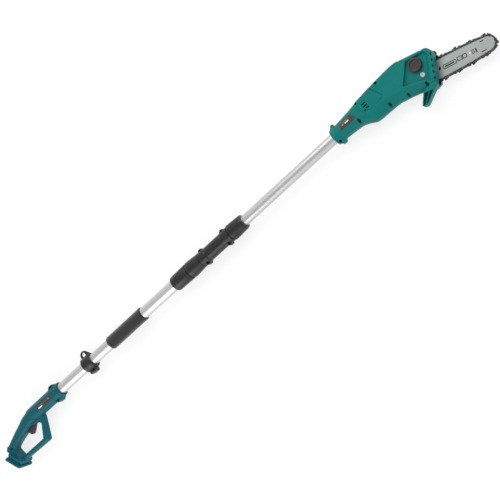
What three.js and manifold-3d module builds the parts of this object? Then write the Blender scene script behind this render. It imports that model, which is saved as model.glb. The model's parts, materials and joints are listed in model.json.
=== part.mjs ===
// Telescoping pole saw with a battery handle, a two-stage aluminium pole and a small chainsaw head.
//
// Everything is drawn in pole coordinates, in millimetres: X runs along the pole's axis toward the saw
// head, Y points to the top side of the tool (trigger, hand guard and branch hook are at -Y), and Z
// points out of its right-hand side. The last lines shift the whole saw so that its box stands on Z = 0
// with the origin under the middle: the saw lies on its left side.

import * as THREE from "three";
import { mergeVertices } from "three/addons/utils/BufferGeometryUtils.js";
import Module from "manifold-3d";

const wasm = await Module();
wasm.setup();

// ---------------------------------------------------------------- driving dimensions (mm)

const GAP = 0.3;                                          // clearance between touching pieces
const WALL = 2.5;                                         // moulded wall

// The pole.
const OUTER_TUBE = { r: 17, wall: 1.6, from: -815, to: -20 };
const INNER_TUBE = { r: 14.5, wall: 1.5, from: -480, to: 440 };
const KEYWAY = { width: 2.4, depth: 1.1, angle: -20 };    // groove along the inner tube, degrees from +Z
const LEAD = { r: 5.5, from: -826, to: 462 };             // outer size of the coiled lead in the pole

// Fittings on the pole.
const STRAP_CLAMP = { from: -646, to: -603, r: 24.5 };
const FOAM_GRIP = { from: -533, to: -378, r: 20.8 };
const LOWER_SLEEVE = { from: -245, to: -127.5 };
const COUPLER = { from: -127, to: -9.5, r: 21.75, earX: [-112, -25] };
const COLLET = { from: -18, to: 25, r: 17 };
const LOCK_NUT = { from: -9, to: 44 };

// The handle.
const BARREL = { rear: -912, front: -767, r: 23 };
const COLLAR_EAR = { x: -787, reach: 29, halfDepth: 13 };
const GUARD_HALF_DEPTH = 11;
const FOOT = { x: -1059, y: -82.5, tilt: 32, length: 62, width: 64 };
const TRIGGER_PIVOT = { x: -921, y: -13.5 };
const LOCK_OFF = { x: -936, y: 1 };
const SWITCH = { x: -953, y: -1, tilt: 16 };

// The saw head.
const HEAD = { split: -5, sideJoint: 573 };
const STUD = { x: 658, y: -39.3, r: 4 };
const BAR = { tilt: -15, z: -8, thick: 4, tip: 180.2, nose: 17, tail: -34 };
const BAR_EDGE = [[-18, 22], [55, 22], [100, 21.1], [135, 19.3]];          // place along the bar, half width
const SPROCKET_AT = [-57.963, -2.021];                    // drive sprocket's centre, along and across the bar
const SPROCKET = { r: 17.6, teeth: 6, shaftHole: 5.4 };
const CHAIN = { height: 5.7, width: 6, wrap: 18.6 };
const OIL_CAP = { x: 658.3, y: -7.6, r: 18 };
const SOCKET_BUTTON = { x: 397, z: 3, r: 5.4, top: 30.8, pocket: 22.6 };   // releases the head's socket
const PANEL_Z = 17;                                       // sunk panel round the oil cap and the bolt
const COVER = { top: -11.6, bottom: -36 };
const BAR_WALL = { z0: -4.4, z1: -1.6, rim: -11.15 };     // wall that the bar is clamped to, and its rim
const MOTOR = { r: 15.5, from: 500, to: 543.5, z: 5.2 };
const GEARS = { pinionTeeth: 8, wheelTeeth: 24, wheelR: 16.5, face: 6 };

// ---------------------------------------------------------------- solids

const radians = THREE.MathUtils.degToRad;

function toSolid(geometry) {
  const bare = geometry.clone();
  bare.deleteAttribute("normal");
  bare.deleteAttribute("uv");
  const merged = mergeVertices(bare, 1e-4);
  const mesh = new wasm.Mesh({
    numProp: 3,
    vertProperties: new Float32Array(merged.attributes.position.array),
    triVerts: new Uint32Array(merged.index.array),
  });
  return new wasm.Manifold(mesh);
}

function toGeometry(solid) {
  const mesh = solid.getMesh();
  const geometry = new THREE.BufferGeometry();
  geometry.setAttribute("position", new THREE.BufferAttribute(mesh.vertProperties, 3));
  geometry.setIndex(new THREE.BufferAttribute(mesh.triVerts, 1));
  geometry.computeVertexNormals();
  return geometry;
}

function block([x0, x1], [y0, y1], [z0, z1]) {
  const geometry = new THREE.BoxGeometry(x1 - x0, y1 - y0, z1 - z0);
  return toSolid(geometry.translate((x0 + x1) / 2, (y0 + y1) / 2, (z0 + z1) / 2));
}

function rodX(r, x0, x1, { y = 0, z = 0, sides = 24 } = {}) {
  const geometry = new THREE.CylinderGeometry(r, r, x1 - x0, sides).rotateZ(-Math.PI / 2);
  return toSolid(geometry.translate((x0 + x1) / 2, y, z));
}

function rodZ(r, z0, z1, { x = 0, y = 0, sides = 20 } = {}) {
  const geometry = new THREE.CylinderGeometry(r, r, z1 - z0, sides).rotateX(Math.PI / 2);
  return toSolid(geometry.translate(x, y, (z0 + z1) / 2));
}

function rodY(r0, r1, y0, y1, { x = 0, z = 0, sides = 18 } = {}) {
  const geometry = new THREE.CylinderGeometry(r1, r0, y1 - y0, sides);
  return toSolid(geometry.translate(x, (y0 + y1) / 2, z));
}

function tubeX(rOut, rIn, x0, x1, sides = 24) {
  return rodX(rOut, x0, x1, { sides }).subtract(rodX(rIn, x0 - 1, x1 + 1, { sides }));
}

// A turned solid about the pole's axis: the profile is a closed list of [x, radius].
function turnedX(profile, sides = 24) {
  const points = profile.map(([x, r]) => new THREE.Vector2(r, x));
  points.push(points[0].clone());
  return toSolid(orient(new THREE.LatheGeometry(points, sides).rotateZ(-Math.PI / 2)));
}

// An outline in the XY plane, extruded along Z.
function plate(points, z0, z1) {
  const shape = new THREE.Shape(points.map(([x, y]) => new THREE.Vector2(x, y)));
  const geometry = new THREE.ExtrudeGeometry(shape, { depth: z1 - z0, bevelEnabled: false });
  return toSolid(geometry.translate(0, 0, z0));
}

// Turns every face outward when the closed geometry was built inside out.
function orient(geometry) {
  const solid = geometry.index ? geometry : mergeVertices(geometry);
  const p = solid.attributes.position;
  const index = solid.index.array;
  const [a, b, c] = [new THREE.Vector3(), new THREE.Vector3(), new THREE.Vector3()];
  let volume = 0;
  for (let i = 0; i < index.length; i += 3) {
    a.fromBufferAttribute(p, index[i]);
    b.fromBufferAttribute(p, index[i + 1]);
    c.fromBufferAttribute(p, index[i + 2]);
    volume += a.dot(b.cross(c));
  }
  if (volume < 0) {
    for (let i = 0; i < index.length; i += 3) {
      [index[i], index[i + 1]] = [index[i + 1], index[i]];
    }
  }
  return solid;
}

// A closed skin over rings of [x, y, z] points that all have the same count.
function loft(rings) {
  const count = rings[0].length;
  const position = rings.flat(2);
  const index = [];
  for (let k = 0; k + 1 < rings.length; k += 1) {
    for (let i = 0; i < count; i += 1) {
      const a = k * count + i;
      const b = k * count + ((i + 1) % count);
      index.push(a, b, b + count, a, b + count, a + count);
    }
  }
  const last = (rings.length - 1) * count;
  for (let i = 1; i + 1 < count; i += 1) {
    index.push(0, i + 1, i, last, last + i, last + i + 1);
  }
  const geometry = new THREE.BufferGeometry();
  geometry.setAttribute("position", new THREE.Float32BufferAttribute(position, 3));
  geometry.setIndex(index);
  return toSolid(orient(geometry));
}

// A closed oval about the centre line of a curved grip: h is half the height, w half the width.
function gripRing({ x, y, angle, h, w, power }, shrink = 0, sides = 20) {
  const across = [-Math.sin(radians(angle)), Math.cos(radians(angle))];
  return Array.from({ length: sides }, (_, i) => {
    const turn = (i / sides) * 2 * Math.PI;
    const up = roundPower(Math.sin(turn), power) * (h - shrink);
    const out = roundPower(Math.cos(turn), power) * (w - shrink);
    return [x + across[0] * up, y + across[1] * up, out];
  });
}

function roundPower(value, power) {
  return Math.sign(value) * Math.abs(value) ** (2 / power);
}

function arc(x, y, r, from, to, steps) {
  return Array.from({ length: steps + 1 }, (_, i) => {
    const a = radians(from + ((to - from) * i) / steps);
    return [x + r * Math.cos(a), y + r * Math.sin(a)];
  });
}

function slotOutline(x, y, r, halfLength, steps = 6) {
  return [...arc(x + halfLength, y, r, -90, 90, steps), ...arc(x - halfLength, y, r, 90, 270, steps)];
}

const unite = (first, ...rest) => rest.reduce((sum, solid) => sum.add(solid), first);
const cut = (first, ...tools) => tools.reduce((left, tool) => left.subtract(tool), first);

// The part of a solid that lies between two heights, and its two halves about a parting plane.
function slice(solid, z0, z1) {
  return solid.intersect(block([-2000, 2000], [-400, 400], [z0, z1]));
}

function halves(solid, split = 0) {
  return { right: slice(solid, split + GAP / 2, 90), left: slice(solid, -90, split - GAP / 2) };
}

// ---------------------------------------------------------------- screws through two half shells

const SCREW = { headR: 3.4, headHeight: 2.4, shankR: 1.6, socketR: 1.6, bossR: 5.2 };

// A socket-head screw along Z: its head's top is at z1 and its shank ends at z0.
function screw({ x, y, z0, z1 }) {
  const head = rodZ(SCREW.headR, z1 - SCREW.headHeight, z1, { x, y, sides: 12 });
  const shank = rodZ(SCREW.shankR, z0, z1 - SCREW.headHeight + 0.1, { x, y, sides: 8 });
  const socket = rodZ(SCREW.socketR, z1 - 1.3, z1 + 1, { x, y, sides: 6 });
  return cut(unite(head, shank), socket);
}

function screwHole({ x, y, z0, z1 }) {
  const shank = rodZ(SCREW.shankR + GAP, z0 - GAP, z1, { x, y, sides: 8 });
  const counterbore = rodZ(SCREW.headR + GAP, z1 - SCREW.headHeight - GAP, 60, { x, y, sides: 12 });
  return unite(shank, counterbore);
}

// A hollow moulding, still in one piece, with a boss round every screw. What is in keepClear is cut
// from the bosses too.
function hollowMoulding(outer, cavity, screws, keepClear = []) {
  let shell = outer.subtract(cavity);
  for (const place of screws) {
    const boss = rodZ(SCREW.bossR, -60, 60, { x: place.x, y: place.y, sides: 12 });
    shell = shell.add(boss.intersect(outer));
  }
  for (const place of screws) {
    shell = shell.subtract(screwHole(place));
  }
  return cut(shell, ...keepClear);
}

// ---------------------------------------------------------------- handle

// Stations of the curved hand grip, from the barrel back to the foot.
const GRIP = [
  { x: -900, y: 0, angle: 0, h: 22.5, w: 21.5, power: 2.2 },
  { x: -922, y: -1, angle: 8, h: 21.5, w: 20.5, power: 2.3 },
  { x: -945, y: -5, angle: 15, h: 20, w: 19, power: 2.4 },
  { x: -970, y: -12, angle: 18, h: 18.2, w: 17.2, power: 2.4 },
  { x: -998, y: -20, angle: 19, h: 17, w: 16.4, power: 2.4 },
  { x: -1024, y: -29.5, angle: 22, h: 16, w: 16.4, power: 2.5 },
  { x: -1048, y: -40, angle: 26, h: 16.5, w: 17.5, power: 2.8 },
];

// A point of the battery foot: n forward of its rear face, t down along it.
function footPoint(n, t) {
  const tilt = radians(FOOT.tilt);
  return [
    FOOT.x + n * Math.cos(tilt) + t * Math.sin(tilt),
    FOOT.y + n * Math.sin(tilt) - t * Math.cos(tilt),
  ];
}

function footSlab(n0, n1, t0, t1, halfWidth) {
  const outline = [footPoint(n0, t1), footPoint(n1, t1), footPoint(n1, t0), footPoint(n0, t0)];
  return plate(outline, -halfWidth, halfWidth);
}

// The plate that the battery slides onto, the narrower neck behind it and the flange above.
function batteryFoot() {
  const half = FOOT.length / 2;
  const shoe = footSlab(0, 7, -half, half, FOOT.width / 2);
  const neck = footSlab(6.9, 15, -half + 3, half - 4, FOOT.width / 2 - 8);
  const flange = footSlab(14.9, 24, -half + 3, half, FOOT.width / 2 - 4);
  return unite(shoe, neck, flange);
}

const GUARD_OPENING = [
  [-1036, -58], [-1028, -82], [-918, -82], [-893, -41], [-905, -30],
  [-935, -26], [-972, -32.5], [-1004, -39], [-1026, -46.5],
];

function guard() {
  const outline = [
    [-1062, -40], [-1040, -88], [-1020, -94], [-906, -94], [-873, -26], [-880, -8],
    [-940, -12], [-1000, -24],
  ];
  return plate(outline, -GUARD_HALF_DEPTH, GUARD_HALF_DEPTH)
    .subtract(plate(GUARD_OPENING, -40, 40));
}

// The block that joins the grip's rear end and the guard to the flange of the foot.
function rearBlock() {
  const outline = [
    [-1064, -37], [-1052, -25], [-1038, -36], [-1034, -56], [-1026, -84], [-1020, -93], [-1030, -97],
  ];
  return plate(outline, -18.5, 18.5);
}

function collarEar(side) {
  const { x, reach, halfDepth } = COLLAR_EAR;
  const outline = [[x - 24, 18], [x - 12, reach], [x + 2, reach], [x + 17, 18]];
  const sided = outline.map(([px, py]) => [px, side * py]);
  return plate(side > 0 ? sided.reverse() : sided, -halfDepth, halfDepth);
}

function handleShells(screws) {
  const barrel = rodX(BARREL.r, BARREL.rear, BARREL.front, { sides: 28 });
  const grip = loft(GRIP.map((station) => gripRing(station)));
  const outer = unite(barrel, grip, collarEar(1), collarEar(-1), guard(), rearBlock(), batteryFoot());
  const gripHollow = loft(GRIP.map((station) => gripRing(station, WALL)));
  const cavity = unite(
    rodX(BARREL.r - WALL - 1, BARREL.rear, -822),
    rodX(OUTER_TUBE.r + GAP, -823, BARREL.front + 5, { sides: 28 }),
    gripHollow,
    footSlab(-1, 26, -18, 18, 15),
    plate([[-962, -40], [-915, -34], [-908, -12], [-966, -22]], -8.2, 8.2),
    rodZ(5.2, -40, 0, { ...LOCK_OFF, sides: 18 }),
  );
  return halves(hollowMoulding(outer, cavity, screws));
}

const HANDLE_SCREWS = [
  { x: -1040, y: -42, z0: -13, z1: 17 },
  { x: -905, y: -87.5, z0: -8, z1: 9 },
  { x: -1026, y: -89, z0: -12, z1: 17 },
  { x: -888, y: -28, z0: -8, z1: 9.5 },
  { x: COLLAR_EAR.x - 5, y: 24, z0: -10, z1: 12 },
  { x: COLLAR_EAR.x - 5, y: -24, z0: -10, z1: 12 },
];

// The trigger turns about a pin at its front end; its finger face hangs into the guard.
function trigger() {
  const outline = [
    [-962, -19], [-960, -29], [-955, -38], [-949, -46.5], [-941, -48.5], [-934, -43], [-925, -32],
    [-917, -22], [-915.5, -15], [-921, -9.5], [-930, -10],
  ];
  const body = plate(outline, -7, 7);
  const fingerHollow = rodZ(15, -20, 20, { x: -971, y: -41, sides: 24 });
  return cut(body, fingerHollow, rodZ(2.3, -20, 20, TRIGGER_PIVOT));
}

function lockOffButton() {
  const cap = rodZ(4.8, -22.5, -12, { ...LOCK_OFF, sides: 16 });
  const flange = rodZ(6.2, -12.1, -10, { ...LOCK_OFF, sides: 16 });
  return unite(cap, flange);
}

function switchBody() {
  const { x, y, tilt } = SWITCH;
  const body = new THREE.BoxGeometry(32, 11, 16).rotateZ(radians(tilt)).translate(x, y, 0);
  return toSolid(body);
}

// A wound spring stands as a plain ring round the trigger's pin.
function triggerSpring() {
  return tubeAlongZ(3.4, 2.4, 7.3, 10, TRIGGER_PIVOT, 12);
}

function tubeAlongZ(rOut, rIn, z0, z1, { x, y }, sides = 18) {
  return rodZ(rOut, z0, z1, { x, y, sides }).subtract(rodZ(rIn, z0 - 1, z1 + 1, { x, y, sides }));
}

// The block with the battery's blade contacts, standing in a window of the foot.
function terminalBlock() {
  const base = footSlab(5, 12, -17, 17, 14);
  const blades = [-9, 0, 9].map((z) => slice(footSlab(1.5, 5.1, -10, 10, 14), z - 1, z + 1));
  return unite(base, ...blades);
}

// ---------------------------------------------------------------- pole

function innerTube() {
  const { r, wall, from, to } = INNER_TUBE;
  const angle = radians(KEYWAY.angle);
  const groove = new THREE.BoxGeometry(to - from + 10, KEYWAY.width, KEYWAY.depth * 2);
  groove.translate(0, 0, r);
  groove.rotateX(-angle);
  groove.translate((from + to) / 2, 0, 0);
  return cut(tubeX(r, r - wall, from, to, 28), toSolid(groove));
}

function strapClampHalves() {
  const { from, to, r } = STRAP_CLAMP;
  const middle = (from + to) / 2;
  const lug = plate([
    [from + 3, 12], ...arc(middle - 4, 29, 15.5, 170, 10, 8), [to - 3, 12],
  ].reverse(), -5, 5);
  const boss = block([from + 8, to - 3], [-35, -12], [-13, 13]);
  const eye = plate(slotOutline(middle - 4, 30, 6.5, 1.5), -20, 20);
  const body = unite(rodX(r, from, to, { sides: 28 }), lug, boss);
  const whole = cut(
    body,
    rodX(OUTER_TUBE.r + GAP, from - 5, to + 5, { sides: 28 }),
    eye,
    screwHole(STRAP_SCREW),
  );
  return halves(whole);
}

const STRAP_SCREW = { x: -622, y: -28, z0: -9, z1: 10 };

function lowerSleeve() {
  const { from, to } = LOWER_SLEEVE;
  const inner = OUTER_TUBE.r + GAP;
  return turnedX([
    [from, inner], [from, 20.5], [from + 2.5, 22.6], [from + 7, 23.7], [-172.5, 24.6], [-171.5, 23.2],
    [-169, 23.2], [-168, 24.9], [-160, 25], [-140, 23.2], [to, 21.4], [to, inner],
  ]);
}

function couplerEar(x, side) {
  const outline = [[x - 11, 19], [x - 5, 25.6], [x + 4, 25.6], [x + 9, 19]];
  const sided = outline.map(([px, py]) => [px, side * py]);
  return plate(side > 0 ? sided.reverse() : sided, -9, 9);
}

const COUPLER_SCREWS = COUPLER.earX.flatMap((x) => [1, -1].map((side) => (
  { x: x - 1, y: side * 21.3, z0: -7.5, z1: 8 }
)));

function couplerShells() {
  const { from, to, r, earX } = COUPLER;
  const ears = earX.flatMap((x) => [couplerEar(x, 1), couplerEar(x, -1)]);
  const body = unite(rodX(r, from, to, { sides: 28 }), ...ears);
  const holes = COUPLER_SCREWS.map((place) => screwHole(place));
  const whole = cut(body, rodX(OUTER_TUBE.r + GAP, from - 5, to + 5, { sides: 28 }), ...holes);
  return halves(whole);
}

// A split collet that the lock nut squeezes onto the inner tube.
function lockCollet() {
  const bore = INNER_TUBE.r + GAP;
  const sleeve = turnedX([
    [COLLET.from, bore], [COLLET.from, COLLET.r], [COLLET.to - 16, COLLET.r], [COLLET.to, 15.9],
    [COLLET.to, bore],
  ], 20);
  const slit = (a, b) => block([-4, COLLET.to + 5], a, b);
  return cut(sleeve, slit([-30, 30], [-1, 1]), slit([-1, 1], [-30, 30]));
}

function lockNut() {
  const { from, to } = LOCK_NUT;
  const bore = INNER_TUBE.r + 0.5;
  const body = turnedX([
    [from, 17.6], [from, 23.6], [from + 3, 24.2], [from + 12, 24], [to - 6, 22], [to, 21.2],
    [to, bore], [30, bore], [28, 17.6],
  ], 24);
  const flutes = Array.from({ length: 12 }, (_, i) => {
    const a = (i + 0.5) * radians(30);
    return rodX(1.6, 8, to + 5, { y: 23.9 * Math.cos(a), z: 23.9 * Math.sin(a), sides: 5 });
  });
  return cut(body, ...flutes);
}

// ---------------------------------------------------------------- saw head

// Sections of the head's moulding: t and b are its top and bottom, n half its depth, and the flat side
// runs from the shoulder to the crease; a bigger power makes a squarer corner.
const HEAD_SECTIONS = [
  { x: 384, t: 22.5, b: -22.5, n: 22.5, shoulder: 0, crease: 0, pt: 2, pb: 2 },
  { x: 412, t: 23.5, b: -23, n: 23, shoulder: 0, crease: 0, pt: 2.1, pb: 2.1 },
  { x: 440, t: 25, b: -25, n: 24, shoulder: 3, crease: -2, pt: 2.4, pb: 2.3 },
  { x: 462, t: 26.5, b: -28, n: 25, shoulder: 8, crease: -4, pt: 2.6, pb: 2.3 },
  { x: 477, t: 28, b: -34, n: 25.6, shoulder: 13, crease: -6, pt: 2.8, pb: 2.3 },
  { x: 497, t: 30, b: -45, n: 26, shoulder: 19, crease: -11, pt: 3, pb: 2.3 },
  { x: 520, t: 31.5, b: -47, n: 26.5, shoulder: 23, crease: -16, pt: 3, pb: 2.3 },
  { x: 545, t: 32.7, b: -48, n: 27, shoulder: 25, crease: -21, pt: 3, pb: 2.3 },
  { x: 573, t: 34.2, b: -50.5, n: 27, shoulder: 27, crease: -27, pt: 3, pb: 2.3 },
  { x: 600, t: 35.3, b: -57.5, n: 26.5, shoulder: 28, crease: -34.6, pt: 3, pb: 2.2 },
  { x: 616, t: 35.2, b: -63, n: 26, shoulder: 28, crease: -40, pt: 3, pb: 2.2 },
  { x: 650, t: 25.5, b: -74, n: 24.5, shoulder: 19, crease: -54, pt: 3, pb: 2.2 },
  { x: 685, t: 15, b: -82, n: 23, shoulder: 9, crease: -64, pt: 3, pb: 2.2 },
  { x: 716, t: 6, b: -88, n: 21.5, shoulder: 0, crease: -70, pt: 3, pb: 2.2 },
];

function headRing(section, shrink) {
  const { x, t, b, n, shoulder, crease, pt, pb } = section;
  const depth = n - shrink;
  const steps = 4;
  const quarter = (edge, base, power) => Array.from({ length: steps + 1 }, (_, i) => {
    const a = (i / steps) * (Math.PI / 2);
    return [
      base + (edge - base) * roundPower(Math.sin(a), power),
      depth * roundPower(Math.cos(a), power),
    ];
  });
  const top = quarter(t - shrink, Math.min(shoulder, t - shrink - 1), pt);
  const bottom = quarter(b + shrink, Math.max(crease, b + shrink + 1) - 0.5, pb);
  const nearSide = [...top.reverse(), ...bottom];
  const farSide = nearSide.slice(1, -1).reverse().map(([y, z]) => [y, -z]);
  return [...nearSide, ...farSide].map(([y, z]) => [x, y, z]);
}

// Side view of the head, with its round nose and the slanted front that the bar comes out of.
const NOSE = { x: 690, y: -7, r: 18.5 };
const HEAD_OUTLINE = [
  [370, 60], [600, 60], [625.7, 32.6], ...arc(NOSE.x, NOSE.y, NOSE.r, 72, -26, 8),
  [681, -63], [668, -79], [640, -90], [370, -90],
].reverse();

// The branch hook, with two long pockets between its ribs.
function branchHook() {
  const outline = [[626, -58], [629, -75], [609, -96.5], [613, -99.5], [621, -99], [651, -84.5],
    [668, -79.5], [668, -60]].reverse();
  const body = plate(outline, HEAD.split + GAP / 2, 19);
  const pocket = (from, to) => {
    const [dx, dy] = [to[0] - from[0], to[1] - from[1]];
    const long = Math.hypot(dx, dy);
    const [ox, oy] = [(-dy / long) * 1.7, (dx / long) * 1.7];
    return plate([[from[0] - ox, from[1] - oy], [to[0] - ox, to[1] - oy],
      [to[0] + ox, to[1] + oy], [from[0] + ox, from[1] + oy]], 6, 30);
  };
  return cut(body, pocket([613.5, -95.5], [633, -76.5]), pocket([620, -95.5], [642, -79.5]));
}

const SUNK_PANEL = [
  [603, -28], [631, 0], [645, 17], [694, 3.5], [700, -10], [694, -30], [668, -64], [652, -52],
].reverse();

const VENT = { x: 497, y: 12, pitch: 7, count: 4 };

const HEAD_SCREWS = [
  { x: 393, y: -20.5, z0: -9, z1: 10 },
  { x: 466, y: -17, z0: -13, z1: 18 },
  { x: 557, y: 26, z0: -18, z1: 19 },
  { x: 486, y: 22, z0: -17, z1: 19 },
  { x: 551, y: -39.5, z0: -12, z1: 16 },
];

// The hollow of the head: all the way across behind the side joint, and only above the bar's
// mounting wall in front of it.
function headHollow() {
  const inside = [[440, 50], [628, 50], [692, 8], [702, -1], [703, -14], [677, -63], [664, -75],
    [630, -75], [440, -75]].reverse();
  const sections = HEAD_SECTIONS.filter(({ x }) => x > 430);
  const hollow = loft(sections.map((section) => headRing(section, WALL)))
    .intersect(plate(inside, -60, 60));
  const behind = block([400, HEAD.sideJoint - WALL - 0.5], [-100, 60], [-60, 60]);
  const above = block([400, 730], [-100, 60], [BAR_WALL.z1, 60]);
  return hollow.intersect(unite(behind, above));
}

function sunkPanelSkin(outer) {
  const middle = new THREE.Vector2(655, -22);
  const around = SUNK_PANEL.map(([x, y]) => {
    const away = new THREE.Vector2(x, y).sub(middle);
    away.setLength(away.length() + WALL);
    return [middle.x + away.x, middle.y + away.y];
  });
  return plate(around, PANEL_Z - WALL, 40).intersect(outer);
}

function headShells() {
  const outer = loft(HEAD_SECTIONS.map((section) => headRing(section, 0)))
    .intersect(plate(HEAD_OUTLINE, -60, 60));
  const socketBore = rodX(INNER_TUBE.r + GAP, 300, 442, { sides: 28 });
  const motorAxis = { y: sprocketCentre().y, z: MOTOR.z };
  const motorSeat = rodX(MOTOR.r + GAP, MOTOR.from - 1, MOTOR.to + 1, motorAxis);
  const socketBoss = unite(
    block([388, 406], [-28.5, -10], [-11, 11]),
    block([388, 404], [10, 25], [-10, 10]),
  );
  const moulding = hollowMoulding(
    unite(outer, socketBoss),
    unite(headHollow(), socketBore),
    HEAD_SCREWS,
    [socketBore, motorSeat],
  );
  const behindJoint = block([300, HEAD.sideJoint], [-90, 60], [-60, 60]);
  const rear = halves(moulding.intersect(behindJoint), HEAD.split);
  const front = slice(moulding.subtract(behindJoint), BAR_WALL.rim, 60);
  const chainRoom = plate(chainOutline(CHAIN.height + 1.3), -60, BAR_WALL.z0);
  const barPad = plate(barPoints([[-24, -17], [26, -17], [26, 17], [-24, 17]]),
    BAR.z + BAR.thick / 2 + GAP, BAR_WALL.z1);
  const { x, z, r, pocket } = SOCKET_BUTTON;
  const buttonPocket = rodY(r + 0.5, r + 0.5, pocket, 40, { x, z });
  const vents = Array.from({ length: VENT.count }, (_, i) => {
    const top = VENT.y - i * VENT.pitch;
    return block([VENT.x, VENT.x + 11], [top - 1.6, top + 1.6], [15, 40]);
  });
  const right = cut(
    unite(rear.right, front.subtract(chainRoom), barPad,
      branchHook(), sunkPanelSkin(outer)),
    plate(SUNK_PANEL, PANEL_Z, 40),
    rodZ(SPROCKET.shaftHole, -20, 0, { ...sprocketCentre(), sides: 20 }),
    rodZ(STUD.r + GAP, -20, 40, { ...STUD, sides: 16 }),
    rodZ(11.4, 0, 40, { x: OIL_CAP.x, y: OIL_CAP.y, sides: 24 }),
    buttonPocket,
    ...vents,
  );
  return { right, left: rear.left.subtract(buttonPocket) };
}

// ---------------------------------------------------------------- bar, chain and drive

// Bar coordinates: u along the bar from the stud toward the tip, v across it.
function barPoint(u, v) {
  const a = radians(BAR.tilt);
  return [STUD.x + u * Math.cos(a) - v * Math.sin(a), STUD.y + u * Math.sin(a) + v * Math.cos(a)];
}

function barPoints(points) {
  return points.map(([u, v]) => barPoint(u, v));
}

function sprocketCentre() {
  const [x, y] = barPoint(...SPROCKET_AT);
  return { x, y };
}

function noseCentre() {
  const [x, y] = barPoint(BAR.tip - BAR.nose, 0);
  return { x, y };
}

// The bar's two long edges and the round nose between them, grown by a distance.
function barLoop(grow) {
  const edge = (side) => BAR_EDGE.map(([u, half]) => [u, side * (half + grow)]);
  return [...edge(-1), ...arc(BAR.tip - BAR.nose, 0, BAR.nose + grow, -85, 85, 14), ...edge(1).reverse()];
}

function barOutline(inset) {
  const tail = BAR.tail + inset;
  return barPoints([[tail, -14 + inset], ...barLoop(-inset), [tail, 14 - inset]]);
}

// Two side plates and a narrower core between them, which leaves the groove that the chain runs in.
function guideBar() {
  const z0 = BAR.z - BAR.thick / 2;
  const z1 = BAR.z + BAR.thick / 2;
  const groove = 0.75;
  const nose = noseCentre();
  const sides = plate(barOutline(0), z0, z1)
    .subtract(plate(barOutline(-5), BAR.z - groove, BAR.z + groove));
  const core = plate(barOutline(5), z0 + 0.5, z1 - 0.5)
    .subtract(rodZ(13.6, BAR.z - groove, BAR.z + groove, { ...nose, sides: 24 }));
  const hub = rodZ(5.6, z0 + 0.5, z1 - 0.5, { ...nose, sides: 16 });
  const studSlot = plate(barPoints(slotOutline(2, 0, STUD.r + 0.4, 9)), z0 - 5, z1 + 5);
  const hole = (u, v, r) => {
    const [x, y] = barPoint(u, v);
    return rodZ(r, z0 - 5, z1 + 5, { x, y, sides: 14 });
  };
  return cut(unite(sides, core, hub), studSlot, hole(37.5, 1.2, 4.4), hole(117, 0.6, 2), hole(-27, 0, 1.8));
}

// A closed loop round the sprocket and the bar, offset outward from the surface that it runs on.
function chainOutline(offset) {
  const wrap = arc(...SPROCKET_AT, CHAIN.wrap + offset, 95, 265, 12);
  return barPoints([...wrap, ...barLoop(GAP + offset)]);
}

function sawChain() {
  const [z0, z1] = [BAR.z - CHAIN.width / 2, BAR.z + CHAIN.width / 2];
  return plate(chainOutline(CHAIN.height), z0, z1).subtract(plate(chainOutline(0), z0 - 1, z1 + 1));
}

function toothedDisc(centre, rRoot, rTip, teeth, z0, z1) {
  const points = Array.from({ length: teeth }, (_, i) => {
    const at = (share, r) => {
      const a = ((i + share) / teeth) * 2 * Math.PI;
      return [centre.x + r * Math.cos(a), centre.y + r * Math.sin(a)];
    };
    return [at(0, rRoot), at(0.25, rRoot), at(0.38, rTip), at(0.62, rTip), at(0.75, rRoot)];
  }).flat();
  return plate(points, z0, z1);
}

function driveSprocket() {
  const centre = sprocketCentre();
  const disc = toothedDisc(centre, 12, SPROCKET.r, SPROCKET.teeth, BAR.z - 3, BAR.z + 3);
  return disc.subtract(rodZ(3.3, -40, 40, { ...centre, sides: 16 }));
}

function noseSprocket() {
  const centre = noseCentre();
  const disc = toothedDisc(centre, 10, 12.2, 7, BAR.z - 0.5, BAR.z + 0.5);
  return disc.subtract(rodZ(6.2, -40, 40, { ...centre, sides: 16 }));
}

// One straight bevel tooth ring with its apex at the origin and its axis along +Z; the big end's pitch
// circle has radius r at height h, and the teeth taper toward the apex over the face width.
function bevelGear({ teeth, r, h, face, phase, thin }) {
  const cone = Math.hypot(r, h);
  const inner = (cone - face) / cone;
  const module = (2 * r) / teeth;
  const radial = h / cone;
  const axial = r / cone;
  const ring = (scale) => Array.from({ length: teeth }, (_, i) => {
    const at = (share, rise) => {
      const a = ((i + phase + share) / teeth) * 2 * Math.PI;
      const reach = (r + rise * module * radial) * scale;
      return [reach * Math.cos(a), reach * Math.sin(a), (h - rise * module * axial) * scale];
    };
    return [at(-0.27 - thin, -1.25), at(-0.12 + thin, 0.8), at(0.12 - thin, 0.8), at(0.27 + thin, -1.25)];
  }).flat();
  const back = ring(1).map(([x, y]) => [x * 0.6, y * 0.6, h + 2]);
  const front = ring(inner).map(([x, y]) => [x * 0.45, y * 0.45, (h - 1.2 * axial) * inner]);
  return loft([back, ring(1), ring(inner), front]);
}

function apex() {
  return { ...sprocketCentre(), z: MOTOR.z };
}

const PINION_R = (GEARS.wheelR * GEARS.pinionTeeth) / GEARS.wheelTeeth;

// The big bevel wheel above the motor's axis, on the sprocket's shaft.
function bevelWheel() {
  const { x, y, z } = apex();
  const teeth = bevelGear({
    teeth: GEARS.wheelTeeth, r: GEARS.wheelR, h: PINION_R, face: GEARS.face, phase: 0, thin: 0.03,
  });
  const placed = toSolid(toGeometry(teeth).translate(x, y, z));
  return placed.subtract(rodZ(4.3, -40, 60, { x, y, sides: 16 }));
}

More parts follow.
